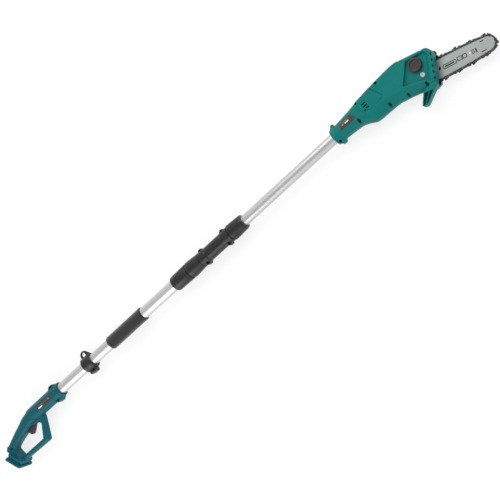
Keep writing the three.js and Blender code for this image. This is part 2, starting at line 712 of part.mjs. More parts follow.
// The motor's shaft with its armature and the bevel pinion on its front end.
function rotor() {
  const { x, y, z } = apex();
  const teeth = bevelGear({
    teeth: GEARS.pinionTeeth, r: PINION_R, h: GEARS.wheelR, face: GEARS.face, phase: 0.5, thin: 0.03,
  });
  const placed = toGeometry(teeth).rotateY(-Math.PI / 2).translate(x, y, z);
  const shaft = rodX(2.5, MOTOR.from + 4, x - GEARS.wheelR - 1, { y, z, sides: 14 });
  const armature = rodX(11, MOTOR.from + 14, MOTOR.to - 14, { y, z, sides: 18 });
  return unite(toSolid(placed), shaft, armature);
}

function motorCan() {
  const { y } = sprocketCentre();
  const { r, from, to, z } = MOTOR;
  const can = rodX(r, from, to, { y, z, sides: 28 });
  const room = rodX(r - 2.6, from + 8, to - 8, { y, z, sides: 28 });
  const seat = rodX(5.4, from - 2, to + 2, { y, z, sides: 20 });
  return cut(can, room, seat);
}

function motorBearing(x0, x1) {
  const { y } = sprocketCentre();
  const outer = rodX(5.1, x0, x1, { y, z: MOTOR.z, sides: 20 });
  return outer.subtract(rodX(2.8, x0 - 1, x1 + 1, { y, z: MOTOR.z, sides: 14 }));
}

function sprocketShaft() {
  const centre = sprocketCentre();
  const lower = rodZ(3, -15, -4, { ...centre, sides: 16 });
  const upper = rodZ(4, -4.1, 14, { ...centre, sides: 16 });
  return unite(lower, upper);
}

// The filler neck and the hollow tank under the cap.
function oilTank() {
  const outline = [[633, -24], [633, 13], [646, 11], [688, 1], [697, -9], [690, -24]].reverse();
  const room = [[635.5, -22], [635.5, 11], [646, 8.5], [687, -1], [694, -9], [688.5, -22]].reverse();
  const at = { x: OIL_CAP.x, y: OIL_CAP.y, sides: 24 };
  const tank = unite(plate(outline, -1, PANEL_Z - WALL - GAP), rodZ(11, 10, PANEL_Z + 4, at));
  return cut(tank, plate(room, 1, PANEL_Z - WALL - GAP - 2), rodZ(8.6, 5, 40, at));
}

// A ribbed disc with a bayonet stem that stands in the tank's neck.
function oilCap() {
  const at = { x: OIL_CAP.x, y: OIL_CAP.y };
  const [low, high] = [PANEL_Z + 0.4, PANEL_Z + 11];
  const disc = rodZ(OIL_CAP.r, low, high, { ...at, sides: 36 });
  const room = rodZ(11.6, low - 1, PANEL_Z + 5, { ...at, sides: 24 });
  const ring = rodZ(OIL_CAP.r - 4, high - 2.4, high + 1, { ...at, sides: 32 });
  const bar = block([at.x - 13, at.x + 13], [at.y - 3.2, at.y + 3.2], [high - 2.6, high - 0.2]);
  const stem = rodZ(8.1, 9, high - 2.5, { ...at, sides: 24 });
  const notches = Array.from({ length: 15 }, (_, i) => {
    const a = i * radians(24);
    return rodZ(1.2, low - 1, high + 1, {
      x: at.x + (OIL_CAP.r + 0.4) * Math.cos(a),
      y: at.y + (OIL_CAP.r + 0.4) * Math.sin(a),
      sides: 5,
    });
  });
  return cut(unite(cut(disc, room, ring), bar, stem), ...notches);
}

function oilPump() {
  const body = rodX(6, 628, 652, { y: -48, z: 6, sides: 18 });
  return unite(body, block([634, 646], [-54, -42], [1, 11]));
}

function barStud() {
  const shank = rodZ(STUD.r, -24, PANEL_Z + 0.5, { ...STUD, sides: 16 });
  const head = rodZ(7.5, PANEL_Z + 0.3, PANEL_Z + 5, { ...STUD, sides: 6 });
  return unite(shank, head);
}

function barNut() {
  const nut = rodZ(9, -36.5 + 4, -25.2, { ...STUD, sides: 6 });
  return nut.subtract(rodZ(STUD.r + GAP, -60, 0, { ...STUD, sides: 16 }));
}

// Outlines of the sprocket cover where it meets the head and at its flat face.
const COVER_RIM = [
  [573.6, 31], [600, 32], [616, 31], [645, 22.5], [686, 9.5], [698, 3], [704, -4], [706, -12],
  [703, -20], [680, -63], [671, -75], [656, -76], [641, -70], [617, -60], [600, -54], [573.6, -47],
];
const COVER_FACE = [
  [573.6, 24], [600, 26], [616, 25], [645, 17.5], [684, 4.5], [694, -1], [700, -7], [702, -13],
  [700, -21], [677.5, -62], [669, -71], [658, -72], [643, -62], [618, -51], [600, -45], [573.6, -39],
];

// The cover over the sprocket: a tapered dish, open at the front, with a well for the nut.
function sprocketCover() {
  const ring = (share, z) => COVER_RIM.map(([x, y], i) => [
    x + (COVER_FACE[i][0] - x) * share, y + (COVER_FACE[i][1] - y) * share, z,
  ]);
  const { top, bottom } = COVER;
  const body = loft([ring(0, top), ring(0.18, top - 14), ring(0.5, bottom + 4), ring(1, bottom)]);
  const dish = plate([
    [576.1, -36], [576.1, 21.5], [600, 23.5], [616, 22.5], [645, 15], [682, 2.5], [730, -16],
    [730, -60], [671, -60], [660, -66], [643, -58], [618, -47], [600, -42],
  ], bottom + WALL, 20);
  const nutWell = rodZ(12.5, bottom - 1, -24, { ...STUD, sides: 24 });
  const wellWall = rodZ(15, bottom, BAR.z - BAR.thick / 2 - 1, { ...STUD, sides: 24 });
  const clampPad = plate(barPoints([[-14, -11], [18, -11], [18, 11], [-14, 11]]),
    bottom + 1, BAR.z - BAR.thick / 2 - GAP);
  return cut(
    unite(cut(body, dish), wellWall, clampPad),
    nutWell,
    rodZ(STUD.r + GAP, -60, 10, { ...STUD, sides: 16 }),
  );
}

// A push button with a smaller raised crown; the pocket under it leaves room for its travel.
function socketButton() {
  const { x, z, r, top, pocket } = SOCKET_BUTTON;
  return unite(rodY(r, r - 0.8, pocket + 2, top - 1, { x, z }), rodY(r - 2, r - 2, top - 1.1, top, { x, z }));
}

// ---------------------------------------------------------------- materials and assembly

const finish = (color, roughness, metalness = 0) =>
  new THREE.MeshStandardMaterial({ color, roughness, metalness });

const MATERIALS = {
  headPlastic: finish(0x18807a, 0.5),
  handlePlastic: finish(0x1f6b75, 0.5),
  blackPlastic: finish(0x2b2b2c, 0.55),
  brownPlastic: finish(0x3a2f2c, 0.45),
  badge: finish(0x4a2a26, 0.4),
  foam: finish(0x2e2e30, 0.95),
  outerAluminium: finish(0xd4d4d4, 0.35, 0.9),
  innerAluminium: finish(0xdcdcdc, 0.3, 0.9),
  barSteel: finish(0xa9afb0, 0.35, 0.9),
  chainSteel: finish(0x5d5a55, 0.4, 0.9),
  screwSteel: finish(0x4a4b4f, 0.4, 0.9),
  boltSteel: finish(0xb9bcc2, 0.3, 0.9),
  gearSteel: finish(0x8b8d90, 0.4, 0.9),
  motorSteel: finish(0x9a9ca0, 0.45, 0.8),
  brass: finish(0xb08d45, 0.35, 0.9),
  leadRubber: finish(0x222222, 0.8),
  tankPlastic: finish(0xd8d6c8, 0.5),
};

const saw = new THREE.Group();

function add(name, solid, material) {
  const mesh = new THREE.Mesh(toGeometry(solid), MATERIALS[material]);
  mesh.name = name;
  saw.add(mesh);
}

function addScrews(name, places) {
  places.forEach((place, i) => add(`${name}_${i + 1}`, screw(place), "screwSteel"));
}

function addHandle() {
  const shells = handleShells(HANDLE_SCREWS);
  add("handle_shell_right", shells.right, "handlePlastic");
  add("handle_shell_left", shells.left, "handlePlastic");
  addScrews("handle_screw", HANDLE_SCREWS);
  add("handle_badge", block([-866, -802], [-8.5, 5], [BARREL.r + GAP, BARREL.r + 1.2]), "badge");
  add("trigger", trigger(), "brownPlastic");
  add("trigger_pin", rodZ(2, -11, 11, { ...TRIGGER_PIVOT, sides: 12 }), "gearSteel");
  add("trigger_spring", triggerSpring(), "gearSteel");
  add("switch_body", switchBody(), "blackPlastic");
  add("lock_off_button", lockOffButton(), "brownPlastic");
  add("terminal_block", terminalBlock(), "blackPlastic");
}

function addPole() {
  const { r, wall, from, to } = OUTER_TUBE;
  add("outer_tube", tubeX(r, r - wall, from, to, 28), "outerAluminium");
  add("inner_tube", innerTube(), "innerAluminium");
  add("power_lead", rodX(LEAD.r, LEAD.from, LEAD.to, { sides: 10 }), "leadRubber");
  add("foam_grip", tubeX(FOAM_GRIP.r, r + GAP, FOAM_GRIP.from, FOAM_GRIP.to, 28), "foam");
  const clamp = strapClampHalves();
  add("strap_clamp_right", clamp.right, "blackPlastic");
  add("strap_clamp_left", clamp.left, "blackPlastic");
  add("strap_clamp_screw", screw(STRAP_SCREW), "screwSteel");
  add("lower_sleeve", lowerSleeve(), "blackPlastic");
  const coupler = couplerShells();
  add("coupler_shell_right", coupler.right, "blackPlastic");
  add("coupler_shell_left", coupler.left, "blackPlastic");
  addScrews("coupler_screw", COUPLER_SCREWS);
  add("lock_collet", lockCollet(), "blackPlastic");
  add("lock_nut", lockNut(), "blackPlastic");
}

function addHead() {
  const shells = headShells();
  add("head_shell_right", shells.right, "headPlastic");
  add("head_shell_left", shells.left, "headPlastic");
  addScrews("head_screw", HEAD_SCREWS);
  add("head_badge", plate([[409, -3], [456, -4], [452, 14], [414, 13]], 25.6, 26.6), "badge");
  add("socket_button", socketButton(), "blackPlastic");
  add("motor_can", motorCan(), "motorSteel");
  add("motor_bearing_rear", motorBearing(MOTOR.from + 1, MOTOR.from + 6), "gearSteel");
  add("motor_bearing_front", motorBearing(MOTOR.to - 6, MOTOR.to - 1), "gearSteel");
  add("rotor", rotor(), "motorSteel");
  add("bevel_wheel", bevelWheel(), "gearSteel");
  add("sprocket_shaft", sprocketShaft(), "gearSteel");
  add("drive_sprocket", driveSprocket(), "gearSteel");
  add("oil_tank", oilTank(), "tankPlastic");
  add("oil_cap", oilCap(), "brownPlastic");
  add("oil_pump", oilPump(), "brass");
}

function addCutter() {
  add("guide_bar", guideBar(), "barSteel");
  add("saw_chain", sawChain(), "chainSteel");
  add("nose_sprocket", noseSprocket(), "gearSteel");
  add("bar_bolt", barStud(), "boltSteel");
  add("bar_nut", barNut(), "boltSteel");
  add("sprocket_cover", sprocketCover(), "blackPlastic");
}

addHandle();
addPole();
addHead();
addCutter();

// Stand the saw's box on Z = 0 with the origin under its middle.
const box = new THREE.Box3().setFromObject(saw);
const middle = box.getCenter(new THREE.Vector3());
saw.position.set(-middle.x, -middle.y, -box.min.z);
saw.updateMatrixWorld(true);

export default saw;
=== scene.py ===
"""Looks of a telescoping pole saw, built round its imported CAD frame.

Shapes are drawn in pole coordinates, in millimetres, as in the CAD source: X runs along the pole toward
the saw head, Y toward the tool's top side, and Z out of its right-hand side. make() puts them into the
frame, in metres, with the pole's origin found from the outer tube.
"""

import json
import math

import bmesh
import bpy
import numpy as np
from mathutils import Matrix, Vector
from mathutils.bvhtree import BVHTree


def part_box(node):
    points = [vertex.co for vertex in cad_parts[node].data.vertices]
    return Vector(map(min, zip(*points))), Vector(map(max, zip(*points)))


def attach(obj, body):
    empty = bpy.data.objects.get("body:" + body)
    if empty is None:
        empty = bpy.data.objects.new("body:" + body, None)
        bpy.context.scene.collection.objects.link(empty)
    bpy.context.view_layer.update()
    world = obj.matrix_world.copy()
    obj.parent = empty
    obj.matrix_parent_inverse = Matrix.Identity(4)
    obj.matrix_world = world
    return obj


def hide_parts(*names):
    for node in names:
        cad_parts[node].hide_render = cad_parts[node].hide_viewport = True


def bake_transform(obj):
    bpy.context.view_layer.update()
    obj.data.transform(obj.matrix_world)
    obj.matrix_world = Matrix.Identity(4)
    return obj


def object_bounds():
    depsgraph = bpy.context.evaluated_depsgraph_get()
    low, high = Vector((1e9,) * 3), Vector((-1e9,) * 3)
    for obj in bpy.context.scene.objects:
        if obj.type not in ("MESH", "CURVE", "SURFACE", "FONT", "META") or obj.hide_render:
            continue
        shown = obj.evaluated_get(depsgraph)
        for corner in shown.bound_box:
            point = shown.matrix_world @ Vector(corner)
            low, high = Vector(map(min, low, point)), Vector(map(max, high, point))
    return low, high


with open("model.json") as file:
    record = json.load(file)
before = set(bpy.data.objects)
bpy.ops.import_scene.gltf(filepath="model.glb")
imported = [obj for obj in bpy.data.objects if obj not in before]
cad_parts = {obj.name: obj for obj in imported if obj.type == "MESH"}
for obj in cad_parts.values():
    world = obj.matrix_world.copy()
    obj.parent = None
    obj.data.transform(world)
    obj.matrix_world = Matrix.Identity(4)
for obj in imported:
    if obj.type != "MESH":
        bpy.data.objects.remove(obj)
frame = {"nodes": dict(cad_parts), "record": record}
cad_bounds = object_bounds()

MM = 0.001
OUTER_TUBE_END = -20
TUBE_LOW, TUBE_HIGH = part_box("outer_tube")
POLE = np.array([
    TUBE_HIGH.x - OUTER_TUBE_END * MM,
    (TUBE_LOW.y + TUBE_HIGH.y) / 2,
    (TUBE_LOW.z + TUBE_HIGH.z) / 2,
])
BODIES = frame["record"]["behaviour"]["bodies"]
NODE_BODY = {node: body for body, nodes in BODIES.items() for node in nodes}
NODE_SLOT = {row["node"]: row["material_slot"] for row in frame["record"]["subparts"]}
VOXEL_SCALE = 1.0

GAP = 0.3               # clearance between neighbouring parts
WALL = 2.5              # wall of the two housings
SHARP_ANGLE = 35        # edges sharper than this, in degrees, are not shaded smooth


# ---------------------------------------------------------------- meshes

def make(name, points, faces):
    """A closed mesh object from points in pole coordinates, with its faces turned outward."""
    mesh = bpy.data.meshes.new(name)
    mesh.from_pydata((POLE + np.asarray(points, float) * MM).tolist(), [], faces)
    shape = bmesh.new()
    shape.from_mesh(mesh)
    bmesh.ops.remove_doubles(shape, verts=shape.verts, dist=1e-7)
    bmesh.ops.recalc_face_normals(shape, faces=shape.faces)
    shape.to_mesh(mesh)
    shape.free()
    obj = bpy.data.objects.new(name, mesh)
    bpy.context.scene.collection.objects.link(obj)
    return obj


def circle(centre, radius, sides=48):
    turns = np.arange(sides) * math.tau / sides
    return [(centre[0] + radius * math.cos(a), centre[1] + radius * math.sin(a)) for a in turns]


def arc(centre, radius, start, end, steps):
    """Points along an arc, with its start and end in degrees."""
    turns = np.radians(np.linspace(start, end, steps + 1))
    return [(centre[0] + radius * math.cos(a), centre[1] + radius * math.sin(a)) for a in turns]


def slot_outline(centre, radius, half_length, direction=0.0, steps=12):
    """A slot with round ends; direction turns it from the first axis, in degrees."""
    a = math.radians(direction)
    reach = np.array([math.cos(a), math.sin(a)]) * half_length
    return (arc(centre + reach, radius, direction - 90, direction + 90, steps)
            + arc(centre - reach, radius, direction + 90, direction + 270, steps))


def prism(outline, low, high, axis=2, name="tool"):
    """An outline across an axis, extruded along it."""
    count = len(outline)
    points = [np.insert(np.array(p, float), axis, level) for level in (low, high) for p in outline]
    faces = [(i, (i + 1) % count, count + (i + 1) % count, count + i) for i in range(count)]
    faces += [tuple(range(count)), tuple(range(2 * count - 1, count - 1, -1))]
    return make(name, points, faces)


def block(x, y, z, name="tool"):
    """A box between two places on each axis."""
    return prism([(x[0], y[0]), (x[1], y[0]), (x[1], y[1]), (x[0], y[1])], z[0], z[1], name=name)


def rod(radius, low, high, centre=(0, 0), axis=2, sides=48, name="tool"):
    """A round rod between two places on its axis."""
    return prism(circle(centre, radius, sides), low, high, axis, name)


def turned(profile, centre=(0, 0), axis=0, sides=96):
    """A turned solid: its profile is a closed list of (place along the axis, radius)."""
    points = [np.insert(np.array(p), axis, along)
              for along, radius in profile for p in circle(centre, radius, sides)]
    rows = len(profile)
    reaches_axis = profile[0][1] == 0 and profile[-1][1] == 0
    faces = []
    for k in range(rows - 1 if reaches_axis else rows):
        for i in range(sides):
            a, b = k * sides, ((k + 1) % rows) * sides
            faces.append((a + i, a + (i + 1) % sides, b + (i + 1) % sides, b + i))
    return make("turned", points, faces)


def loft(rings, name="tool"):
    """A closed skin over rings with the same number of points."""
    count = len(rings[0])
    faces = [(k * count + i, k * count + (i + 1) % count,
              (k + 1) * count + (i + 1) % count, (k + 1) * count + i)
             for k in range(len(rings) - 1) for i in range(count)]
    last = (len(rings) - 1) * count
    faces += [tuple(range(count)), tuple(range(last + count - 1, last - 1, -1))]
    return make(name, np.concatenate(rings), faces)


def settle(obj):
    """Applies an object's modifiers."""
    graph = bpy.context.evaluated_depsgraph_get()
    mesh = bpy.data.meshes.new_from_object(obj.evaluated_get(graph))
    obj.modifiers.clear()
    obj.data = mesh
    return obj


def combine(base, operation, tools):
    """Applies one boolean with each tool in turn, and uses the tools up."""
    for tool in tools:
        modifier = base.modifiers.new("combine", "BOOLEAN")
        modifier.operation = operation
        modifier.object = tool
        modifier.solver = "MANIFOLD"
    settle(base)
    for tool in tools:
        bpy.data.objects.remove(tool)
    return base


def join(base, *tools):
    return combine(base, "UNION", tools)


def cut(base, *tools):
    return combine(base, "DIFFERENCE", tools)


def keep(base, *tools):
    return combine(base, "INTERSECT", tools)


def bevel(obj, width, segments=3, angle=30):
    """Rounds the edges that turn by more than an angle in degrees."""
    modifier = obj.modifiers.new("bevel", "BEVEL")
    modifier.width = width * MM
    modifier.segments = segments
    modifier.limit_method = "ANGLE"
    modifier.angle_limit = math.radians(angle)
    return settle(obj)


def soften(obj, voxel=0.9, passes=4):
    """Rounds every edge as a moulding's edges are, by remeshing finely and smoothing."""
    remesh = obj.modifiers.new("remesh", "REMESH")
    remesh.mode = "VOXEL"
    remesh.voxel_size = voxel * VOXEL_SCALE * MM
    smooth = obj.modifiers.new("smooth", "SMOOTH")
    smooth.factor = 0.5
    smooth.iterations = passes
    return settle(obj)


def merge(parts):
    """One object from many, each keeping its own closed surface."""
    bpy.ops.object.select_all(action="DESELECT")
    for part in parts:
        part.select_set(True)
    bpy.context.view_layer.objects.active = parts[0]
    bpy.ops.object.join()
    return parts[0]


def copy_of(obj):
    twin = bpy.data.objects.new(obj.name + "_copy", obj.data.copy())
    bpy.context.scene.collection.objects.link(twin)
    return twin


def shade(obj):
    obj.data.shade_smooth()
    obj.data.set_sharp_from_angle(angle=math.radians(SHARP_ANGLE))


def dress(obj, name, slot, *nodes, body=None):
    """Names a finished piece, gives it its material and lets it ride and stand for its CAD nodes."""
    obj.name = name
    obj.data.name = name
    obj.data.materials.clear()
    obj.data.materials.append(MATERIALS[slot])
    shade(obj)
    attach(obj, body or NODE_BODY[nodes[0]])
    if nodes:
        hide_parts(*nodes)
    return obj


def curve_through(xs, ys, at):
    """A smooth curve through the points that never overshoots between them."""
    slope = np.diff(ys) / np.diff(xs)
    tangent = np.concatenate([slope[:1], (slope[:-1] + slope[1:]) / 2, slope[-1:]])
    turning = slope[:-1] * slope[1:] <= 0
    tangent[1:-1][turning] = 0
    steep = np.abs(slope)
    limit = 3 * np.minimum(np.append(steep, steep[-1]), np.insert(steep, 0, steep[0]))
    tangent = np.clip(tangent, -limit, limit)
    k = np.clip(np.searchsorted(xs, at) - 1, 0, len(xs) - 2)
    width = xs[k + 1] - xs[k]
    t = (at - xs[k]) / width
    return (ys[k] * (2 * t ** 3 - 3 * t ** 2 + 1) + tangent[k] * width * (t ** 3 - 2 * t ** 2 + t)
            + ys[k + 1] * (3 * t ** 2 - 2 * t ** 3) + tangent[k + 1] * width * (t ** 3 - t ** 2))


# ---------------------------------------------------------------- materials

def colour(code, gain=1.0):
    """A linear colour from a hexadecimal code, made lighter or darker by a factor."""
    parts = [int(code[i:i + 2], 16) / 255 for i in (0, 2, 4)]
    linear = [p / 12.92 if p <= 0.04045 else ((p + 0.055) / 1.055) ** 2.4 for p in parts]
    return [min(1.0, p * gain) for p in linear] + [1.0]


class Graph:
    """The node graph of one material. Object coordinates are the frame's, in metres."""

    def __init__(self, name):
        self.material = bpy.data.materials.new(name)
        self.material.use_nodes = True
        self.tree = self.material.node_tree
        self.shader = self.tree.nodes["Principled BSDF"]
        self.where = self.tree.nodes.new("ShaderNodeTexCoord").outputs["Object"]

    def node(self, kind, values=(), **settings):
        """A node with its settings, and a value or a link for each input that is given."""
        made = self.tree.nodes.new("ShaderNode" + kind)
        for key, value in settings.items():
            setattr(made, key, value)
        for key, value in dict(values).items():
            self.put(value, made.inputs[key])
        return made

    def put(self, value, socket):
        if isinstance(value, bpy.types.NodeSocket):
            self.tree.links.new(value, socket)
        else:
            socket.default_value = value

    def set(self, **values):
        for key, value in values.items():
            self.put(value, self.shader.inputs[key.replace("_", " ")])

    def noise(self, size, stretch=(1, 1, 1), detail=2.0, turn=0.0):
        """Noise with features of about that size in millimetres, shorter along a stretched axis."""
        mapping = self.node("Mapping", {
            "Vector": self.where,
            "Rotation": (0, 0, math.radians(turn)),
            "Scale": [s / (size * MM) for s in stretch],
        })
        texture = self.node("TexNoise", {"Vector": mapping.outputs[0], "Scale": 1.0, "Detail": detail})
        return texture.outputs["Fac"]

    def cells(self, size):
        """Distance from the middle of round cells of about that size in millimetres."""
        mapping = self.node("Mapping", {"Vector": self.where, "Scale": [1 / (size * MM)] * 3})
        return self.node("TexVoronoi", {"Vector": mapping.outputs[0], "Scale": 1.0}).outputs["Distance"]

    def remap(self, value, low, high, start=0.3, end=0.7):
        made = self.node("MapRange", {"Value": value, "From Min": start, "From Max": end,
                                      "To Min": low, "To Max": high})
        return made.outputs["Result"]

    def mix(self, share, first, second):
        made = self.node("Mix", data_type="RGBA")
        self.put(share, made.inputs["Factor"])
        self.put(first, made.inputs[6])
        self.put(second, made.inputs[7])
        return made.outputs[2]

    def math(self, operation, first, second):
        made = self.node("Math", operation=operation)
        self.put(first, made.inputs[0])
        self.put(second, made.inputs[1])
        return made.outputs[0]

    def bump(self, height, depth, normal=None):
        """A bump whose full height is depth millimetres."""
        values = {"Height": height, "Distance": depth * MM, "Strength": 1.0}
        if normal is not None:
            values["Normal"] = normal
        return self.node("Bump", values).outputs["Normal"]

    def along(self, direction, origin):
        """Millimetres from an origin, in pole coordinates, along a direction of the side view."""
        x, y = direction
        values = {0: self.where, 1: (x, y, 0)}
        dot = self.node("VectorMath", values, operation="DOT_PRODUCT").outputs["Value"]
        start = (POLE[0] + origin[0] * MM) * x + (POLE[1] + origin[1] * MM) * y
        return self.math("DIVIDE", self.math("SUBTRACT", dot, start), MM)

    def field(self, u, v, centre, half, corner=0.0):
        """1 inside a rectangle of the side view with round corners, 0 outside."""
        far = []
        for value, middle, reach in zip((u, v), centre, half):
            away = self.math("ABSOLUTE", self.math("SUBTRACT", value, middle), 0.0)
            far.append(self.math("MAXIMUM", self.math("SUBTRACT", away, reach - corner), 0.0))
        squares = [self.math("MULTIPLY", value, value) for value in far]
        distance = self.math("SQRT", self.math("ADD", *squares), 0.0)
        return self.remap(distance, 1.0, 0.0, corner, corner + 0.15)

    def edges(self):
        """1 on worn outer edges, 0 elsewhere."""
        return self.remap(self.node("NewGeometry").outputs["Pointiness"], 0.0, 1.0, 0.53, 0.62)


def moulded(name, code, roughness=0.42, wear=0.22, gloss=0.14):
    """Moulded plastic with a fine spark-eroded grain, faint colour drift and lighter worn edges."""
    graph = Graph(name)
    base = graph.mix(graph.noise(38, detail=3.0), colour(code, 0.90), colour(code, 1.10))
    worn = graph.math("MULTIPLY", graph.edges(), wear)
    tint = graph.mix(worn, base, colour(code, 2.0))
    rough = graph.remap(graph.noise(5), roughness - 0.06, roughness + 0.07)
    fine = graph.bump(graph.noise(0.5), 0.02)
    graph.set(Base_Color=tint, Roughness=rough, Normal=fine)
    graph.shader.inputs["Specular IOR Level"].default_value = gloss
    return graph.material


def brushed(name, code, roughness):
    """Metal with fine lines along the pole and a slow change of brightness."""
    graph = Graph(name)
    lines = graph.noise(0.35, stretch=(0.03, 1, 1), detail=3.0)
    base = graph.mix(graph.noise(30), colour(code, 0.88), colour(code, 1.06))
    tint = graph.mix(graph.remap(lines, 0.0, 0.35), base, colour(code, 0.72))
    rough = graph.remap(lines, roughness - 0.06, roughness + 0.10)
    graph.set(Base_Color=tint, Roughness=rough, Metallic=1.0, Normal=graph.bump(lines, 0.006))
    return graph.material


def cast(name, code, roughness, spot=4.0, second=None):
    """Plain machined or plated metal with patches of a second colour, such as oil or old plating."""
    graph = Graph(name)
    patches = graph.remap(graph.noise(spot, detail=4.0), 0.0, 1.0, 0.50, 0.66)
    tint = graph.mix(patches, colour(code), colour(second or code, 0.8))
    rough = graph.remap(graph.noise(2.0), roughness - 0.08, roughness + 0.12)
    pits = graph.bump(graph.noise(0.8), 0.01)
    graph.set(Base_Color=tint, Roughness=rough, Metallic=1.0, Normal=pits)
    return graph.material


def foam(name, code):
    """Closed-cell foam: small round cells and soft wide dents."""
    graph = Graph(name)
    cells = graph.cells(1.1)
    tint = graph.mix(graph.remap(cells, 0.0, 1.0, 0.1, 0.7), colour(code, 0.7), colour(code, 1.25))
    dents = graph.bump(graph.noise(14), 0.25)
    graph.set(Base_Color=tint, Roughness=0.92, Normal=graph.bump(cells, 0.12, dents))
    graph.shader.inputs["Specular IOR Level"].default_value = 0.25
    graph.shader.inputs["Sheen Weight"].default_value = 0.55
    return graph.material


def label_film(name, code):
    """Printed film: a dark ground with plain light and tan blocks in place of any lettering."""
    graph = Graph(name)
    tint = graph.mix(graph.noise(9, detail=3.0), colour(code, 0.8), colour(code, 1.2))
    x = graph.along((1, 0), (0, 0))
    y = graph.along((0, 1), (0, 0))
    # Blocks of the two labels: colour, middle and half size.
    blocks = (
        ("cfcac4", (440, 3.2), (6.5, 1.6)),
        ("8d8884", (427, 3.8), (3.5, 1.0)),
        ("6b5f5c", (436, 8.6), (12, 0.7)),
        ("e6e4df", (-853, -5.4), (9.5, 1.7)),
        ("8a5f42", (-842, 0.2), (4, 1.3)),
        ("74503a", (-829, -1.6), (6, 1.5)),
        ("6d665f", (-812, -1.4), (4, 2.6)),
    )
    for block_code, centre, half in blocks:
        tint = graph.mix(graph.field(x, y, centre, half, 0.5), tint, colour(block_code))
    graph.set(Base_Color=tint, Roughness=graph.remap(graph.noise(3), 0.28, 0.36))
    return graph.material


def bar_steel(name, code):
    """Ground steel with fine lines along the bar and plain dark etched marks."""
    graph = Graph(name)
    a = math.radians(BAR["tilt"])
    u = graph.along((math.cos(a), math.sin(a)), STUD)
    v = graph.along((-math.sin(a), math.cos(a)), STUD)
    lines = graph.noise(0.6, stretch=(0.04, 1, 1), detail=3.0, turn=-BAR["tilt"])
    ground = graph.mix(graph.noise(26, detail=4.0), colour(code, 0.84), colour(code, 1.04))
    tint = graph.mix(graph.remap(lines, 0.0, 0.35), ground, colour(code, 0.66))
    # Marks: middle, half size, corner radius and line width, which is 0 for a filled mark.
    marks = (
        ((63.5, -1.4), (18.5, 5.8), 5.6, 2.0),
        ((63.5, -1.4), (12.5, 1.7), 1.0, 0.0),
        ((90.5, 0.0), (6.5, 5.4), 0.6, 1.9),
        ((103.5, 0.0), (5.6, 5.4), 0.6, 1.9),
        ((125.7, -0.8), (3.4, 5.2), 1.6, 1.7),
        ((133.6, -1.5), (1.7, 5.6), 0.4, 0.0),
        ((152.6, 12.4), (4.5, 1.1), 0.4, 0.0),
        ((149.6, -11.6), (6.5, 1.1), 0.4, 0.0),
    )
    for centre, half, corner, line in marks:
        mask = graph.field(u, v, centre, half, corner)
        if line:
            inner = graph.field(u, v, centre, [h - line for h in half], max(corner - line, 0.2))
            mask = graph.math("SUBTRACT", mask, inner)
        tint = graph.mix(graph.math("MULTIPLY", mask, 0.95), tint, colour("161717"))
    rough = graph.remap(lines, 0.34, 0.50)
    graph.set(Base_Color=tint, Roughness=rough, Metallic=0.85, Normal=graph.bump(lines, 0.006))
    return graph.material


def paint_all():
    return {
        "head_plastic": moulded("head_plastic", "016a65", wear=0.09),
        "handle_plastic": moulded("handle_plastic", "01515b", gloss=0.17, roughness=0.36, wear=0.12),
        "black_plastic": moulded("black_plastic", "171718", roughness=0.33, wear=0.3, gloss=0.42),
        "brown_plastic": moulded("brown_plastic", "2c2422", roughness=0.36, wear=0.3, gloss=0.4),
        "badge": label_film("badge", "3a2927"),
        "foam": foam("foam", "151517"),
        "outer_aluminium": brushed("outer_aluminium", "d4d4d4", roughness=0.36),
        "inner_aluminium": brushed("inner_aluminium", "c8c8c8", roughness=0.34),
        "bar_steel": bar_steel("bar_steel", "a1a6a7"),
        "chain_steel": cast("chain_steel", "403f3d", roughness=0.32, spot=6.0, second="7d715a"),
        "screw_steel": cast("screw_steel", "1e1f21", roughness=0.42),
        "bolt_steel": cast("bolt_steel", "9fa3ae", roughness=0.42, second="b4b8c2"),
        "gear_steel": cast("gear_steel", "8b8d90", roughness=0.35, second="6a6a6a"),
        "motor_steel": brushed("motor_steel", "9a9ca0", roughness=0.4),
        "brass": cast("brass", "b08d45", roughness=0.33, second="8c6a2a"),
        "lead_rubber": moulded("lead_rubber", "222222", roughness=0.7),
        "tank_plastic": moulded("tank_plastic", "d8d6c8", roughness=0.4, wear=0.05),
    }


# ---------------------------------------------------------------- camera, lights, floor

# The view: its direction from the pole, turn about that direction in degrees, distance and aim in metres.
VIEW = {"direction": (0.39, -0.258), "roll": 41.88, "distance": 2.565, "aim": 0.0686, "lens": 67.9}


def view_axes():
    x, y = VIEW["direction"]
    back = Vector((x, y, math.sqrt(1 - x * x - y * y)))
    along = (Vector((1, 0, 0)) - back * back.x).normalized()
    across = -back.cross(along)
    return back, along, across


def camera():
    back, along, across = view_axes()
    turn = math.radians(VIEW["roll"])
    right = along * math.cos(turn) + across * math.sin(turn)
    up = along * math.sin(turn) - across * math.cos(turn)
    data = bpy.data.cameras.new("camera")
    data.lens = VIEW["lens"]
    data.sensor_width = 36
    data.clip_end = 50
    obj = bpy.data.objects.new("camera", data)
    spot = Vector(POLE) + back * VIEW["distance"] + across * VIEW["aim"]
    turned_to = Matrix((right, up, back)).transposed().to_4x4()
    obj.matrix_world = Matrix.Translation(spot) @ turned_to
    bpy.context.scene.collection.objects.link(obj)
    bpy.context.scene.camera = obj


def area_light(name, spot, target, size, power):
    """A square light at a spot, in metres, that faces its target."""
    data = bpy.data.lights.new(name, "AREA")
    data.energy = power
    data.size = size
    obj = bpy.data.objects.new(name, data)
    obj.location = spot
    obj.rotation_euler = (Vector(target) - Vector(spot)).to_track_quat("-Z", "Y").to_euler()
    bpy.context.scene.collection.objects.link(obj)
    return obj


